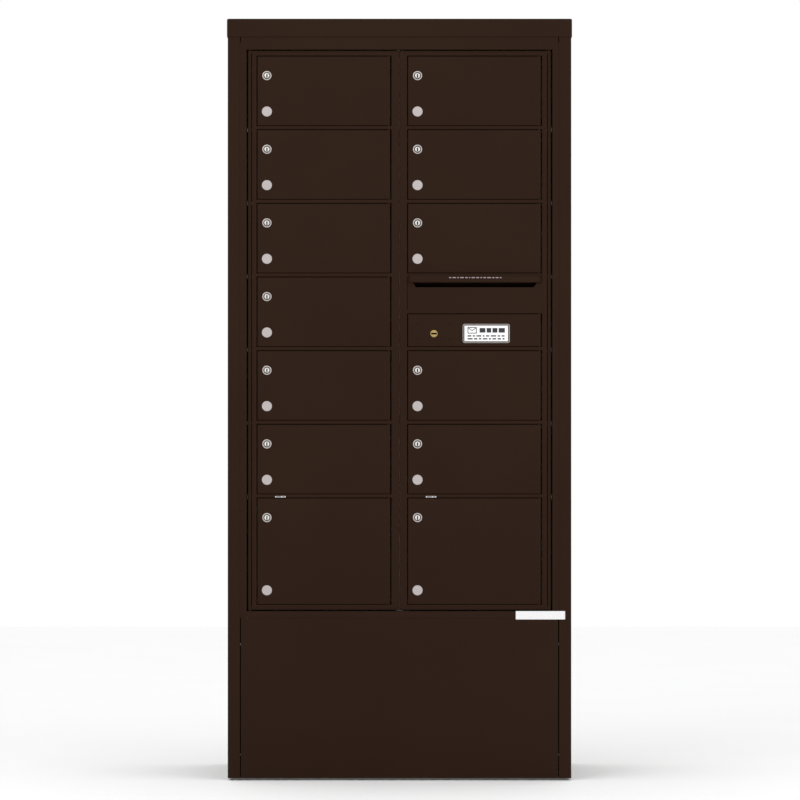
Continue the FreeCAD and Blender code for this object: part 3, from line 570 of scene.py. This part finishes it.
class MAILBOX_OT_doors(bpy.types.Operator):
    """Fold the tenant doors and the carrier's door"""
    bl_idname = "mailbox.doors"
    bl_label = "Build the doors"

    def execute(self, context):
        size = context.scene.mailbox_sizes
        models = {}
        for node in DOORS + ["arrow_door"]:
            low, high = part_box(node)
            height = round(high.z - low.z, 4)
            if height not in models:
                models[height] = (self.door_pan(size, low, high, node), low)
            pan, start = models[height]
            self.add(pan, node, low - start)
        for pan, _ in models.values():
            bpy.data.objects.remove(pan, do_unlink=True)
        return {"FINISHED"}

    def door_pan(self, size, low, high, node):
        """A pan with rounded edges, a rolled hinge barrel inside its right edge, and the lock's hole."""
        pan = block("door_pan", low, high)
        step_in(pan, lambda f: lies(f, Y, high.y), (size.door_wall, 0.0))
        depth = high.y - low.y - size.door_sheet
        middle = (low + high) / 2
        push(pan, "FACE", lambda f: f.normal.y > 0.9 and abs(f.calc_center_median().x - middle.x) < MM
             and abs(f.calc_center_median().z - middle.z) < MM, (0.0, -depth, 0.0))
        outer = (low.x, high.x), (low.z, high.z)

        def on_rim(edge):
            corner = all(min(abs(v.co.x - x) for x in outer[0]) < 0.01 * MM
                         and min(abs(v.co.z - z) for z in outer[1]) < 0.01 * MM for v in edge.verts)
            return lies(edge, Y, low.y) or (runs(edge, Y) and corner)

        round_off(pan, size.door_edge, on_rim, 4)
        pivot = high.x - size.pivot_inset
        barrel = upright("barrel", size.barrel, pivot, low.y + size.pivot_depth, low.z, high.z)
        round_off(barrel, 0.3 * MM, lambda e: lies(e, Z, low.z) or lies(e, Z, high.z), 2)
        bore = upright("bore", size.barrel_bore, pivot, low.y + size.pivot_depth, low.z - MM, high.z + MM)
        apply_modifier(pan, "BOOLEAN", operation="UNION", solver="EXACT", object=barrel)
        bpy.data.objects.remove(barrel, do_unlink=True)
        carve(pan, bore)
        if node == "arrow_door":
            low_plug, high_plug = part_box("arrow_lock_plug")
            place = ((low_plug.x + high_plug.x) / 2, (low_plug.z + high_plug.z) / 2)
            radius = size.carrier_plug
        else:
            place = lock_place(node.replace("_door_", "_lock_"))
            radius = size.lock_barrel
        carve(pan, drum("hole", radius + 0.1 * MM, place, low.y - MM, low.y + 5.0 * MM))
        return pan

    def add(self, pan, node, shift):
        name = node.replace("_door_", "_door_skin_").replace("arrow_door", "carrier_door_skin")
        stands_for(twin(pan, name, shift), node)


class MAILBOX_OT_master_doors(bpy.types.Operator):
    """Fold the two master door frames that the carrier swings open"""
    bl_idname = "mailbox.master_doors"
    bl_label = "Build the master doors"

    def execute(self, context):
        for side in ("left", "right"):
            self.build(context.scene.mailbox_sizes, side)
        return {"FINISHED"}

    def build(self, size, side):
        low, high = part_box(side + "_door_frame")
        near, far = (high.x, low.x) if side == "left" else (low.x, high.x)
        out = 1.0 if far > near else -1.0
        rooms = [self.room(node) for node in DOORS if node.startswith(side)]
        slot = None
        if side == "right":
            rooms.append(self.room("arrow_door"))
            slot = self.slot_room(rooms[0])
        openings = rooms + [slot] if slot else rooms
        folds = (FRAME_LIP, FRAME_FOLD) if side == "left" else (FRAME_FOLD, FRAME_LIP)
        obj = cut_sheet(side + "_master_frame_skin", (low.x, low.z), (high.x, high.z), FACE, openings,
                        FRAME_LIP, folds + (FRAME_FOLD, FRAME_FOLD))
        left = rooms[0][0][0]
        push(obj, "EDGE", lambda e: e.is_boundary and lies(e, X, left) and lies(e, Y, FACE + FRAME_LIP),
             (0.0, 6.5 * MM, 0.0))
        thicken(obj, FACE, size.frame_gauge, size.frame_edge,
                lambda e: slot is None or not self.beside(e, slot))
        seam = far - out * 9.0 * MM
        carve(obj, block("strip_seam", (seam - MM, FACE - MM, low.z + 8.0 * MM),
                         (seam + MM, FACE + 3.0 * MM, high.z - 8.0 * MM)))
        stands_for(joined(obj, self.knuckle(size, far - out * 5.0 * MM, low.z, high.z), *self.stops(rooms),
                          *self.strips(rooms), *self.guides(near, out, openings)), side + "_door_frame")

    def room(self, node):
        """The opening round a door."""
        low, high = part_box(node)
        return (low.x - 2.0 * MM, low.z - 1.1 * MM), (high.x + 3.0 * MM, high.z + 1.7 * MM)

    def slot_room(self, room):
        """The opening of the slot panel, as wide as a door's."""
        low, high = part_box("outgoing_slot_panel")
        return (room[0][0], low.z - PANEL_GAP), (room[1][0], high.z - CREST)

    def beside(self, edge, slot):
        """Whether an edge is one of the slot panel's opening."""
        (x0, z0), (x1, z1) = slot
        return all(x0 - MM < v.co.x < x1 + MM and z0 - 0.1 * MM < v.co.z < z1 + 0.1 * MM for v in edge.verts)

    def knuckle(self, size, x, low, high):
        """The rolled tube that turns on the master door's rod."""
        tube = upright("knuckle", 3.9 * MM, x, FACE + size.pivot_depth, low, high)
        carve(tube, upright("bore", 2.55 * MM, x, FACE + size.pivot_depth, low - MM, high + MM))
        return tube

    def stops(self, rooms):
        """Two tabs behind the lock side of each door."""
        tabs = []
        front, back = FACE + 10.4 * MM, FACE + 11.9 * MM
        reach, height = 7.9 * MM, 10.0 * MM
        for (x, low), (_, high) in rooms:
            for z in (low + 12.0 * MM, high - 22.6 * MM):
                tab = block("stop", (x - 0.5 * MM, front, z), (x + reach, back, z + height))
                round_off(tab, 2.0 * MM, lambda e: runs(e, Y) and e.verts[0].co.x > x + MM, 3)
                tabs.append(tab)
        return tabs

    def strips(self, rooms):
        """Dust strips behind the upper and lower edges of each door."""
        strips = []
        for (x0, low), (x1, high) in rooms:
            for z in (low - 0.5 * MM, high - 4.5 * MM):
                strips.append(block("strip", (x0 - 0.5 * MM, FACE + 12.2 * MM, z),
                                    (x1 + 0.5 * MM, FACE + 13.2 * MM, z + 5.0 * MM)))
        return strips

    def guides(self, near, out, openings):
        """Saddles on every second rail that hold the latch bar."""
        rails = sorted(low[1] - 4.5 * MM for low, _ in openings)[1::2]
        x0, x1 = sorted((near + out * 2.0 * MM, near + out * 16.9 * MM))
        w0, w1 = sorted((near + out * 2.8 * MM, near + out * 15.6 * MM))
        front, back = FACE + 18.5 * MM, FACE + 29.9 * MM
        saddles = []
        for z in rails:
            saddle = block("saddle", (x0, front, z - 4.0 * MM), (x1, back, z + 4.0 * MM))
            round_off(saddle, MM, lambda e: runs(e, Z) and lies(e, Y, back), 3)
            carve(saddle, block("way", (w0, FACE + 24.6 * MM, z - 8.0 * MM),
                                (w1, FACE + 28.4 * MM, z + 8.0 * MM)))
            saddles.append(saddle)
        return saddles


class MAILBOX_OT_cabinet_front(bpy.types.Operator):
    """Fold the trim round the master doors and the panel under them"""
    bl_idname = "mailbox.cabinet_front"
    bl_label = "Build the cabinet's front"

    def execute(self, context):
        low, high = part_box("surround_trim")
        front = low.y
        top_rail = high.z - 55.1 * MM
        inner = ((low.x + 15.9 * MM, low.z + 16.6 * MM), (high.x - 15.9 * MM, top_rail - 17.3 * MM))
        sides = (CABINET_FOLD, CABINET_FOLD, 0.0, 0.0)
        gauge = 2.0 * MM
        trim = cut_sheet("surround_trim_skin", (low.x, low.z), (high.x, top_rail), front, [inner],
                         4.0 * MM, sides)
        thicken(trim, front, gauge, 2.0 * MM, lambda e: all(abs(v.co.x) < high.x - MM for v in e.verts))
        header = cut_sheet("header", (low.x + 1.7 * MM, top_rail), (high.x - 1.7 * MM, high.z), front,
                           [], 0.0, sides)
        thicken(header, front, gauge, 0.0)
        finished(joined(trim, header), "cabinet", "cabinet_paint", ["surround_trim"])

        low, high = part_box("lower_front_panel")
        panel = cut_sheet("lower_panel_skin", (low.x, low.z), (high.x, high.z), low.y, [], 0.0,
                          (CABINET_FOLD, CABINET_FOLD, CABINET_FOLD, 0.0))
        thicken(panel, low.y, 1.5 * MM, 1.2 * MM)
        finished(panel, "cabinet", "cabinet_paint", ["lower_front_panel"])
        return {"FINISHED"}


class MAILBOX_OT_locks(bpy.types.Operator):
    """Make the tenant locks, their cams and the number discs"""
    bl_idname = "mailbox.locks"
    bl_label = "Build the tenant locks"

    def execute(self, context):
        size = context.scene.mailbox_sizes
        first = DOORS[0].replace("_door_", "_lock_")
        start = lock_place(first)
        head = self.lock_head(size, start)
        core = self.lock_core(size, start)
        shade_fill = self.shade_fill(size, start)
        dish_shade = self.dish_shade(size, start)
        low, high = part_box(first)
        disc = self.number_disc(size, ((low.x + high.x) / 2, low.z + size.disc + 1.2 * MM))
        for door in DOORS:
            lock = door.replace("_door_", "_lock_")
            cam = door.replace("_door_", "_cam_")
            x, z = lock_place(lock)
            shift = Vector((x - start[0], 0.0, z - start[1]))
            disc_shift = Vector((shift.x, 0.0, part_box(lock)[0].z - low.z))
            # the keyway fill and the dark ring in each head's hollow are painted shade
            for model, name, way, node, replaced, material in (
                    (head, "_lock_body_", shift, lock, [lock], None),
                    (disc, "_number_disc_", disc_shift, lock, [lock], "satin nickel disc"),
                    (core, "_lock_core_", shift, cam, [cam], "bright nickel"),
                    (shade_fill, "_lock_wards_", shift, cam, (), "painted shade black"),
                    (dish_shade, "_lock_dish_", shift, lock, (), "painted shade nickel")):
                finished(twin(model, door.replace("_door_", name), way), BODY_OF[node], SLOT_OF[node],
                         replaced, material)
        for model in (head, core, shade_fill, dish_shade, disc):
            bpy.data.objects.remove(model, do_unlink=True)
        return {"FINISHED"}

    def lock_head(self, size, place):
        """A dished head, a barrel with rings of thread, and a hexagon nut behind the door."""
        front = FACE - size.lock_head
        head = drum("lock_head", size.lock_radius, place, front, FACE)
        round_off(head, 0.9 * MM, lambda e: lies(e, Y, front), 4)
        step_in(head, lambda f: lies(f, Y, front), (1.4 * MM, 0.0), (1.2 * MM, -1.5 * MM))
        end = FACE + 18.0 * MM
        barrel = drum("lock_barrel", size.lock_barrel, place, FACE - 0.5 * MM, FACE + 1.0 * MM, 48)
        pick(barrel, "FACE", lambda f: f.normal.y > 0.9)
        centre = Vector((place[0], FACE, place[1]))
        depth = FACE + 1.0 * MM
        pitch = 0.75 * MM
        root = 1.0 - 0.6 * MM / size.lock_barrel
        while depth < end - pitch:
            for scale in (root, 1.0 / root):
                bpy.ops.mesh.extrude_region_move(TRANSFORM_OT_translate={"value": (0.0, pitch / 2, 0.0)})
                bpy.ops.transform.resize(value=(scale, 1.0, scale), center_override=centre)
            depth += pitch
        leave()
        behind = FACE + size.door_sheet
        nut = drum("lock_nut", 24.0 * MM / math.sqrt(3.0), place, behind, behind + 4.0 * MM, 6, math.pi / 6)
        round_off(nut, 0.6 * MM, lambda e: not runs(e, Y), 2)
        carve(nut, drum("nut_hole", size.lock_barrel - 0.2 * MM, place, behind - MM, behind + 6.0 * MM))
        bore = 0.05 * MM + size.plug
        for shape in (head, barrel):
            carve(shape, drum("plug_hole", bore, place, front - MM, end + MM))
        return joined(head, barrel, nut)

    def lock_core(self, size, place):
        """The plug with its keyway, and the cam held to it by a screw."""
        x, z = place
        front = FACE - size.lock_head - 0.5 * MM
        cam_low, cam_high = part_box(DOORS[0].replace("_door_", "_cam_"))
        cam_front = cam_high.y - 2.0 * MM
        plug = drum("lock_plug", size.plug, place, front, cam_front - 0.1 * MM)
        round_off(plug, 0.7 * MM, lambda e: lies(e, Y, front), 3)
        carve(plug, block("keyway", (x - 1.5 * MM, front - MM, z - 5.1 * MM),
                          (x + 1.5 * MM, front + 6.0 * MM, z + 3.6 * MM)))
        cam = block("cam", (cam_low.x, cam_front, cam_low.z), (cam_high.x, cam_high.y, cam_high.z))
        half = (cam_high.x - cam_low.x) / 2
        round_off(cam, 0.98 * half, lambda e: runs(e, Y) and e.verts[0].co.z > z, 8)
        round_off(cam, 3.0 * MM, lambda e: runs(e, Y) and e.verts[0].co.z < cam_low.z + 0.1 * MM, 4)
        round_off(cam, 0.3 * MM, lambda e: lies(e, Y, cam_front) or lies(e, Y, cam_high.y), 2)
        screw = drum("cam_screw", 3.6 * MM, place, cam_high.y, cam_high.y + 1.4 * MM, 32)
        round_off(screw, 0.5 * MM, lambda e: lies(e, Y, cam_high.y + 1.4 * MM), 3)
        for turn in (0.0, math.pi / 2):
            carve(screw, block("slot", (x - 2.2 * MM, cam_high.y + 0.6 * MM, z - 0.5 * MM),
                               (x + 2.2 * MM, cam_high.y + 3.0 * MM, z + 0.5 * MM), turn))
        return joined(plug, cam, screw)

    def shade_fill(self, size, place):
        """A near-black block of painted shade that fills the keyway behind the plug's face."""
        x, z = place
        front = FACE - size.lock_head - 0.2 * MM
        shade_fill = block("shade_fill", (x - 1.7 * MM, front, z - 5.3 * MM),
                      (x + 1.7 * MM, front + 5.8 * MM, z + 3.8 * MM))
        round_off(shade_fill, 0.1 * MM, lambda e: lies(e, Y, front), 1)
        return shade_fill

    def dish_shade(self, size, place):
        """A dark ring of painted shade on the floor of the lock head's hollow, round the plug."""
        floor = FACE - size.lock_head + 1.5 * MM
        ring = drum("lock_dish", size.lock_radius - 3.5 * MM, place, floor - 0.1 * MM, floor + 0.2 * MM)
        round_off(ring, 0.04 * MM, lambda e: lies(e, Y, floor - 0.1 * MM), 1)
        carve(ring, drum("plug_hole", 0.05 * MM + size.plug, place, floor - MM, floor + MM))
        return ring

    def number_disc(self, size, place):
        """A disc with a raised rim."""
        front = FACE - MM
        disc = drum("number_disc", size.disc, place, front, FACE)
        round_off(disc, 0.35 * MM, lambda e: lies(e, Y, front), 3)
        step_in(disc, lambda f: lies(f, Y, front), (0.9 * MM, 0.0), (0.25 * MM, -0.2 * MM))
        return disc


class MAILBOX_OT_carrier_lock(bpy.types.Operator):
    """Make the carrier's brass lock and the painted stud heads"""
    bl_idname = "mailbox.carrier_lock"
    bl_label = "Build the carrier's lock"

    def execute(self, context):
        low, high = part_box("arrow_lock_plug")
        x, z = (low.x + high.x) / 2, (low.z + high.z) / 2
        radius = context.scene.mailbox_sizes.carrier_plug
        body_end = high.y - 3.0 * MM - 0.4 * MM
        plug = drum("carrier_lock_plug", radius, (x, z), low.y, body_end)
        round_off(plug, 0.7 * MM, lambda e: lies(e, Y, low.y), 4)
        step_in(plug, lambda f: lies(f, Y, low.y), (1.0 * MM, 0.0), (0.2 * MM, -0.3 * MM), (0.5 * MM, 0.0),
                (0.2 * MM, 0.3 * MM))
        carve(plug, block("keyway", (x - 6.9 * MM, low.y - MM, z - 2.2 * MM),
                          (x + 6.9 * MM, low.y + 8.0 * MM, z + 2.2 * MM)))
        # painted shade: a near-black block in the brass plug's keyway
        shade_fill = block("carrier_lock_shade_fill", (x - 7.1 * MM, low.y + 0.5 * MM, z - 2.4 * MM),
                      (x + 7.1 * MM, low.y + 8.2 * MM, z + 2.4 * MM))
        round_off(shade_fill, 0.1 * MM, lambda e: lies(e, Y, low.y + 0.5 * MM), 1)
        finished(shade_fill, BODY_OF["arrow_lock_plug"], SLOT_OF["arrow_lock_plug"], (), "painted shade black")
        pin = drum("drive_pin", MM, (x + 6.0 * MM, z + 6.0 * MM), body_end - 0.5 * MM, high.y, 24)
        stands_for(joined(plug, pin), "arrow_lock_plug")

        heads = []
        for i in (-1, 1):
            for j in (-1, 1):
                place = (x + i * 37.0 * MM, z + (4.0 + j * 17.5) * MM)
                head = drum("stud_head", 3.1 * MM, place, FACE - MM, FACE, 32)
                round_off(head, 0.8 * MM, lambda e: lies(e, Y, FACE - MM), 4)
                heads.append(head)
        heads.append(self.spare_stud())
        studs = joined(*heads)
        studs.name = "carrier_lock_studs"
        finished(studs, BODY_OF["arrow_door"], "door_paint")
        return {"FINISHED"}

    def spare_stud(self):
        """A smaller stud near the hinge edge."""
        low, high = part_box("arrow_door")
        place = (high.x - 42.4 * MM, (low.z + high.z) / 2 + 1.5 * MM)
        head = drum("spare_stud", 2.6 * MM, place, FACE - 0.7 * MM, FACE, 32)
        round_off(head, 0.5 * MM, lambda e: lies(e, Y, FACE - 0.7 * MM), 3)
        return head


class MAILBOX_OT_mail_plate(bpy.types.Operator):
    """Make the silver-rimmed plate on the carrier's door"""
    bl_idname = "mailbox.mail_plate"
    bl_label = "Build the mail plate"

    def execute(self, context):
        size = context.scene.mailbox_sizes
        low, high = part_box("arrow_door")
        x = high.x - 131.7 * MM
        z = (low.z + high.z) / 2 - 7.6 * MM
        half_w, half_h = size.plate_width / 2, size.plate_height / 2
        front = FACE - 1.8 * MM
        rim = block("mail_plate_rim", (x - half_w, front, z - half_h), (x + half_w, FACE, z + half_h))
        round_off(rim, 5.0 * MM, lambda e: runs(e, Y), 8)
        round_off(rim, 0.6 * MM, lambda e: lies(e, Y, front), 3)
        step_in(rim, lambda f: lies(f, Y, front), (0.8 * MM, 0.0), (0.15 * MM, -0.9 * MM), (1.6 * MM, 0.0),
                (0.15 * MM, 0.9 * MM), (0.9 * MM, 0.0), (0.3 * MM, -0.6 * MM))
        finished(rim, "arrow_door", "lock_metal", (), "satin nickel rim")
        self.groove(size, x, z, front)

        edge = 4.6 * MM
        face = front + 0.35 * MM
        field = block("mail_plate_field", (x - half_w + edge, face, z - half_h + edge),
                      (x + half_w - edge, FACE - 0.9 * MM, z + half_h - edge))
        round_off(field, 0.6 * MM, lambda e: runs(e, Y), 3)
        round_off(field, 0.15 * MM, lambda e: lies(e, Y, face), 2)
        finished(field, "arrow_door", "lock_metal", (), "white enamel")

        ink = []
        skin = (face - 0.12 * MM, face + 0.1 * MM)

        def bar(x0, x1, z0, z1, turn=0.0):
            ink.append(block("mark", (x + x0 * MM, skin[0], z + z0 * MM),
                             (x + x1 * MM, skin[1], z + z1 * MM), turn))

        for x0, x1, z0, z1 in ((-45.0, -23.0, 13.4, 15.2), (-45.0, -23.0, -0.2, 1.6),
                               (-45.0, -43.2, 1.6, 13.4), (-24.8, -23.0, 1.6, 13.4)):
            bar(x0, x1, z0, z1)
        for sign in (-1.0, 1.0):
            bar(-34.0 + sign * 4.7 - 5.9, -34.0 + sign * 4.7 + 5.9, 9.3, 10.9, sign * -0.62)
        for x0, x1 in ((-16.0, -2.0), (1.0, 12.0), (15.0, 27.0), (30.0, 45.0)):
            bar(x0, x1, 2.0, 13.0)
        for row, lengths in ((-6.0, (9, 5, 12, 4, 8, 13, 6, 7)), (-13.0, (12, 8, 6, 11, 5, 9, 8, 5))):
            start = -45.0
            for length in lengths:
                bar(start, start + length, row - 1.6, row + 1.6)
                start += length + 3.6
        mark = joined(*ink)
        mark.name = "mail_plate_mark"
        finished(mark, "arrow_door", "lock_metal", (), "dark ink")
        return {"FINISHED"}

    def groove(self, size, x, z, front):
        """A dark line of painted shade that runs round the rim's groove."""
        half_w, half_h = size.plate_width / 2 - 1.55 * MM, size.plate_height / 2 - 1.55 * MM
        line = block("mail_plate_groove", (x - half_w, front + 0.3 * MM, z - half_h),
                     (x + half_w, front + 0.95 * MM, z + half_h))
        round_off(line, 3.5 * MM, lambda e: runs(e, Y), 8)
        hole = block("inside", (x - half_w + 1.6 * MM, front - MM, z - half_h + 1.6 * MM),
                     (x + half_w - 1.6 * MM, front + 3.0 * MM, z + half_h - 1.6 * MM))
        round_off(hole, 1.9 * MM, lambda e: runs(e, Y), 8)
        carve(line, hole)
        finished(line, "arrow_door", "lock_metal", (), "painted shade black")


class MAILBOX_OT_slot_panel(bpy.types.Operator):
    """Fold the outgoing slot panel with its flared hood"""
    bl_idname = "mailbox.slot_panel"
    bl_label = "Build the slot panel"

    def execute(self, context):
        low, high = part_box("outgoing_slot_panel")
        door_low, door_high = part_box("arrow_door")
        x0, x1 = door_low.x - 1.1 * MM + PANEL_GAP, door_high.x + 3.0 * MM - PANEL_GAP
        opening_top = high.z - CREST
        z0, z1 = low.z, opening_top - PANEL_GAP
        top = opening_top - 13.5 * MM
        foot = top - 11.5 * MM
        panel = cut_sheet("outgoing_slot_skin", (x0, z0), (x1, z1), FACE, [], 0.0, (12.0 * MM,) * 4)
        thicken(panel, FACE, 1.8 * MM, 0.0)
        margin = 12.65 * MM
        slot = block("slot", (x0 + margin, FACE - MM, foot), (x1 - margin, FACE + 5.0 * MM, top))
        pick(slot, "EDGE", lambda e: runs(e, X) and e.verts[0].co.z < foot + 0.1 * MM)
        across = (x1 - x0) - 2.0 * margin
        shrink = (across - 14.0 * MM) / across
        bpy.ops.transform.resize(value=(shrink, 1.0, 1.0), center_override=((x0 + x1) / 2, FACE, foot))
        leave()
        carve(panel, slot)

        crest = high.z
        out = low.y + 0.1 * MM
        hood = block("hood", (x0 + 1.0 * MM, FACE - 0.5 * MM, top), (x1 - 0.5 * MM, FACE + 0.5 * MM, crest))
        push(hood, "FACE", lambda f: f.normal.y < -0.9, (0.0, out - FACE + 0.5 * MM, 0.0))
        pick(hood, "EDGE", lambda e: runs(e, X) and lies(e, Y, out) and e.verts[0].co.z > crest - MM)
        bpy.ops.transform.translate(value=(0.0, 0.0, -9.0 * MM))
        leave()
        pick(hood, "FACE", lambda f: lies(f, Y, out))
        bpy.ops.transform.resize(value=(0.965, 1.0, 1.0), center_override=((x0 + x1) / 2, out, top))
        leave()
        round_off(hood, 1.6 * MM, lambda e: e.calc_length() > 2.0 * MM and
                  all(v.co.y < FACE - 0.6 * MM for v in e.verts), 4)
        below = block("under_hood", (x0 + margin, out + 1.6 * MM, top - MM),
                      (x1 - margin, FACE + MM, top + 4.0 * MM))
        carve(hood, below)
        chute = block("chute", (x0 + 9.65 * MM, FACE + 2.0 * MM, top + 4.0 * MM),
                      (x1 - 9.65 * MM, FACE + 62.0 * MM, top + 5.5 * MM))
        pick(chute, "FACE", lambda f: f.normal.y > 0.9)
        bpy.ops.transform.translate(value=(0.0, 0.0, -25.0 * MM))
        leave()
        stands_for(joined(panel, hood, chute), "outgoing_slot_panel")

        dashes = []
        start = x0 + 100.0 * MM
        for length in (5.0, 8.0, 4.0, 9.0, 6.0, 3.0, 8.0, 7.0, 4.0, 6.0, 9.0, 5.0, 7.0, 4.0):
            dashes.append(block("dash", (start, out - 0.08 * MM, top + 10.5 * MM),
                                (start + length * MM, out + 0.1 * MM, top + 12.7 * MM)))
            start += (length + 3.2) * MM
        line = joined(*dashes)
        line.name = "outgoing_slot_dashes"
        finished(line, BODY_OF["outgoing_slot_panel"], "door_paint", (), "pale ink")
        return {"FINISHED"}


class MAILBOX_OT_labels(bpy.types.Operator):
    """Stick on the blank labels"""
    bl_idname = "mailbox.labels"
    bl_label = "Add the labels"

    def execute(self, context):
        for side in ("left", "right"):
            lowest = [node for node in DOORS if node.startswith(side)][-1]
            low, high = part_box(lowest)
            x, z = low.x + 55.5 * MM, high.z + 3.8 * MM
            tag = self.label("%s_tag" % side, x, z, 12.5 * MM, 1.6 * MM, FACE)
            finished(tag, side + "_master_door", "door_paint", (), "white label")
            self.tag_marks(side, x, z)
        low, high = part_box("lower_front_panel")
        x, z = high.x - 43.0 * MM, high.z + 7.0 * MM
        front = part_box("surround_trim")[0].y
        sticker = self.label("sticker", x, z, 59.5 * MM, 10.0 * MM, front)
        finished(sticker, "cabinet", "cabinet_paint", (), "white label")
        return {"FINISHED"}

    def label(self, name, x, z, half_w, half_h, y):
        """A thin blank label on the plane at y."""
        piece = block(name, (x - half_w, y - LABEL_RISE, z - half_h),
                      (x + half_w, y + 0.05 * MM, z + half_h))
        round_off(piece, min(1.2 * MM, 0.7 * half_h), lambda e: runs(e, Y), 4)
        return piece

    def tag_marks(self, side, x, z):
        """Two dark bars on a tag, in place of words."""
        front = FACE - LABEL_RISE
        piece = joined(*[block("bar", (x + x0 * MM, front - 0.06 * MM, z - MM),
                               (x + x1 * MM, front + 0.05 * MM, z + MM))
                         for x0, x1 in ((-10.5, 2.5), (4.5, 10.5))])
        piece.name = side + "_tag_marks"
        finished(piece, side + "_master_door", "door_paint", (), "dark ink")


class MAILBOX_OT_stage(bpy.types.Operator):
    """Set the floor, the light and the camera"""
    bl_idname = "mailbox.stage"
    bl_label = "Set the stage"

    def execute(self, context):
        stage = context.scene.mailbox_stage
        pale = Finish("pale backdrop", Metallic=0.0)
        mottle = pale.noise(3.0, detail=3.0)
        pale.colour(pale.mix(mottle, (0.93, 0.93, 0.93, 1.0), (0.96, 0.96, 0.96, 1.0)))
        pale.roughness(0.8 + 0.1 * mottle)
        bpy.ops.mesh.primitive_plane_add(size=14.0, location=(0.0, 0.0, 0.0))
        floor = context.object
        floor.name = "floor"
        coat(floor, "pale backdrop")

        world = bpy.data.worlds.new("studio")
        world.use_nodes = True
        world.node_tree.nodes["Background"].inputs["Color"].default_value = (1.0, 1.0, 1.0, 1.0)
        world.node_tree.nodes["Background"].inputs["Strength"].default_value = stage.world_light
        context.scene.world = world
        context.scene.view_settings.view_transform = "Standard"

        for name, place, turn, width, power in (
                ("key light", (-2.6, -4.2, 3.4), (55.0, 0.0, -30.0), 3.0, 60.0),
                ("fill light", (3.0, -4.0, 2.2), (65.0, 0.0, 38.0), 3.0, 40.0)):
            lamp = bpy.data.lights.new(name, "AREA")
            lamp.size = width
            lamp.energy = power
            holder = bpy.data.objects.new(name, lamp)
            holder.location = place
            holder.rotation_euler = [math.radians(angle) for angle in turn]
            context.collection.objects.link(holder)

        camera = bpy.data.objects.new("camera", bpy.data.cameras.new("camera"))
        camera.data.lens = stage.lens
        camera.data.sensor_width = 36.0
        camera.data.clip_end = 100.0
        distance = stage.field * stage.lens / camera.data.sensor_width
        camera.location = (0.0012, FACE - distance, stage.eye_height)
        camera.rotation_euler = (math.pi / 2, 0.0, 0.0)
        context.collection.objects.link(camera)
        context.scene.camera = camera
        return {"FINISHED"}


class MAILBOX_PT_panel(bpy.types.Panel):
    """Lists the settings and the pieces"""
    bl_idname = "MAILBOX_PT_panel"
    bl_label = "Cluster mailbox"
    bl_space_type = "VIEW_3D"
    bl_region_type = "UI"
    bl_category = "Mailbox"

    def draw(self, context):
        layout = self.layout
        for group in (context.scene.mailbox_sizes, context.scene.mailbox_paint, context.scene.mailbox_stage):
            box = layout.box()
            for name in group.__annotations__:
                box.prop(group, name)
        for operator in OPERATORS:
            layout.operator(operator.bl_idname)


SETTINGS = (MailboxSizes, MailboxPaintSettings, MailboxStageSettings)
OPERATORS = (MAILBOX_OT_finishes, MAILBOX_OT_frame_finishes, MAILBOX_OT_cabinet_front,
             MAILBOX_OT_master_doors, MAILBOX_OT_doors, MAILBOX_OT_locks,
             MAILBOX_OT_carrier_lock, MAILBOX_OT_mail_plate, MAILBOX_OT_slot_panel, MAILBOX_OT_labels,
             MAILBOX_OT_stage)


def register():
    for cls in SETTINGS + OPERATORS + (MAILBOX_PT_panel,):
        bpy.utils.register_class(cls)
    bpy.types.Scene.mailbox_sizes = PointerProperty(type=MailboxSizes)
    bpy.types.Scene.mailbox_paint = PointerProperty(type=MailboxPaintSettings)
    bpy.types.Scene.mailbox_stage = PointerProperty(type=MailboxStageSettings)


def unregister():
    del bpy.types.Scene.mailbox_stage
    del bpy.types.Scene.mailbox_paint
    del bpy.types.Scene.mailbox_sizes
    for cls in reversed(SETTINGS + OPERATORS + (MAILBOX_PT_panel,)):
        bpy.utils.unregister_class(cls)


def main():
    register()
    for operator in OPERATORS:
        group, name = operator.bl_idname.split(".")
        getattr(getattr(bpy.ops, group), name)()


if __name__ == "__main__":
    main()
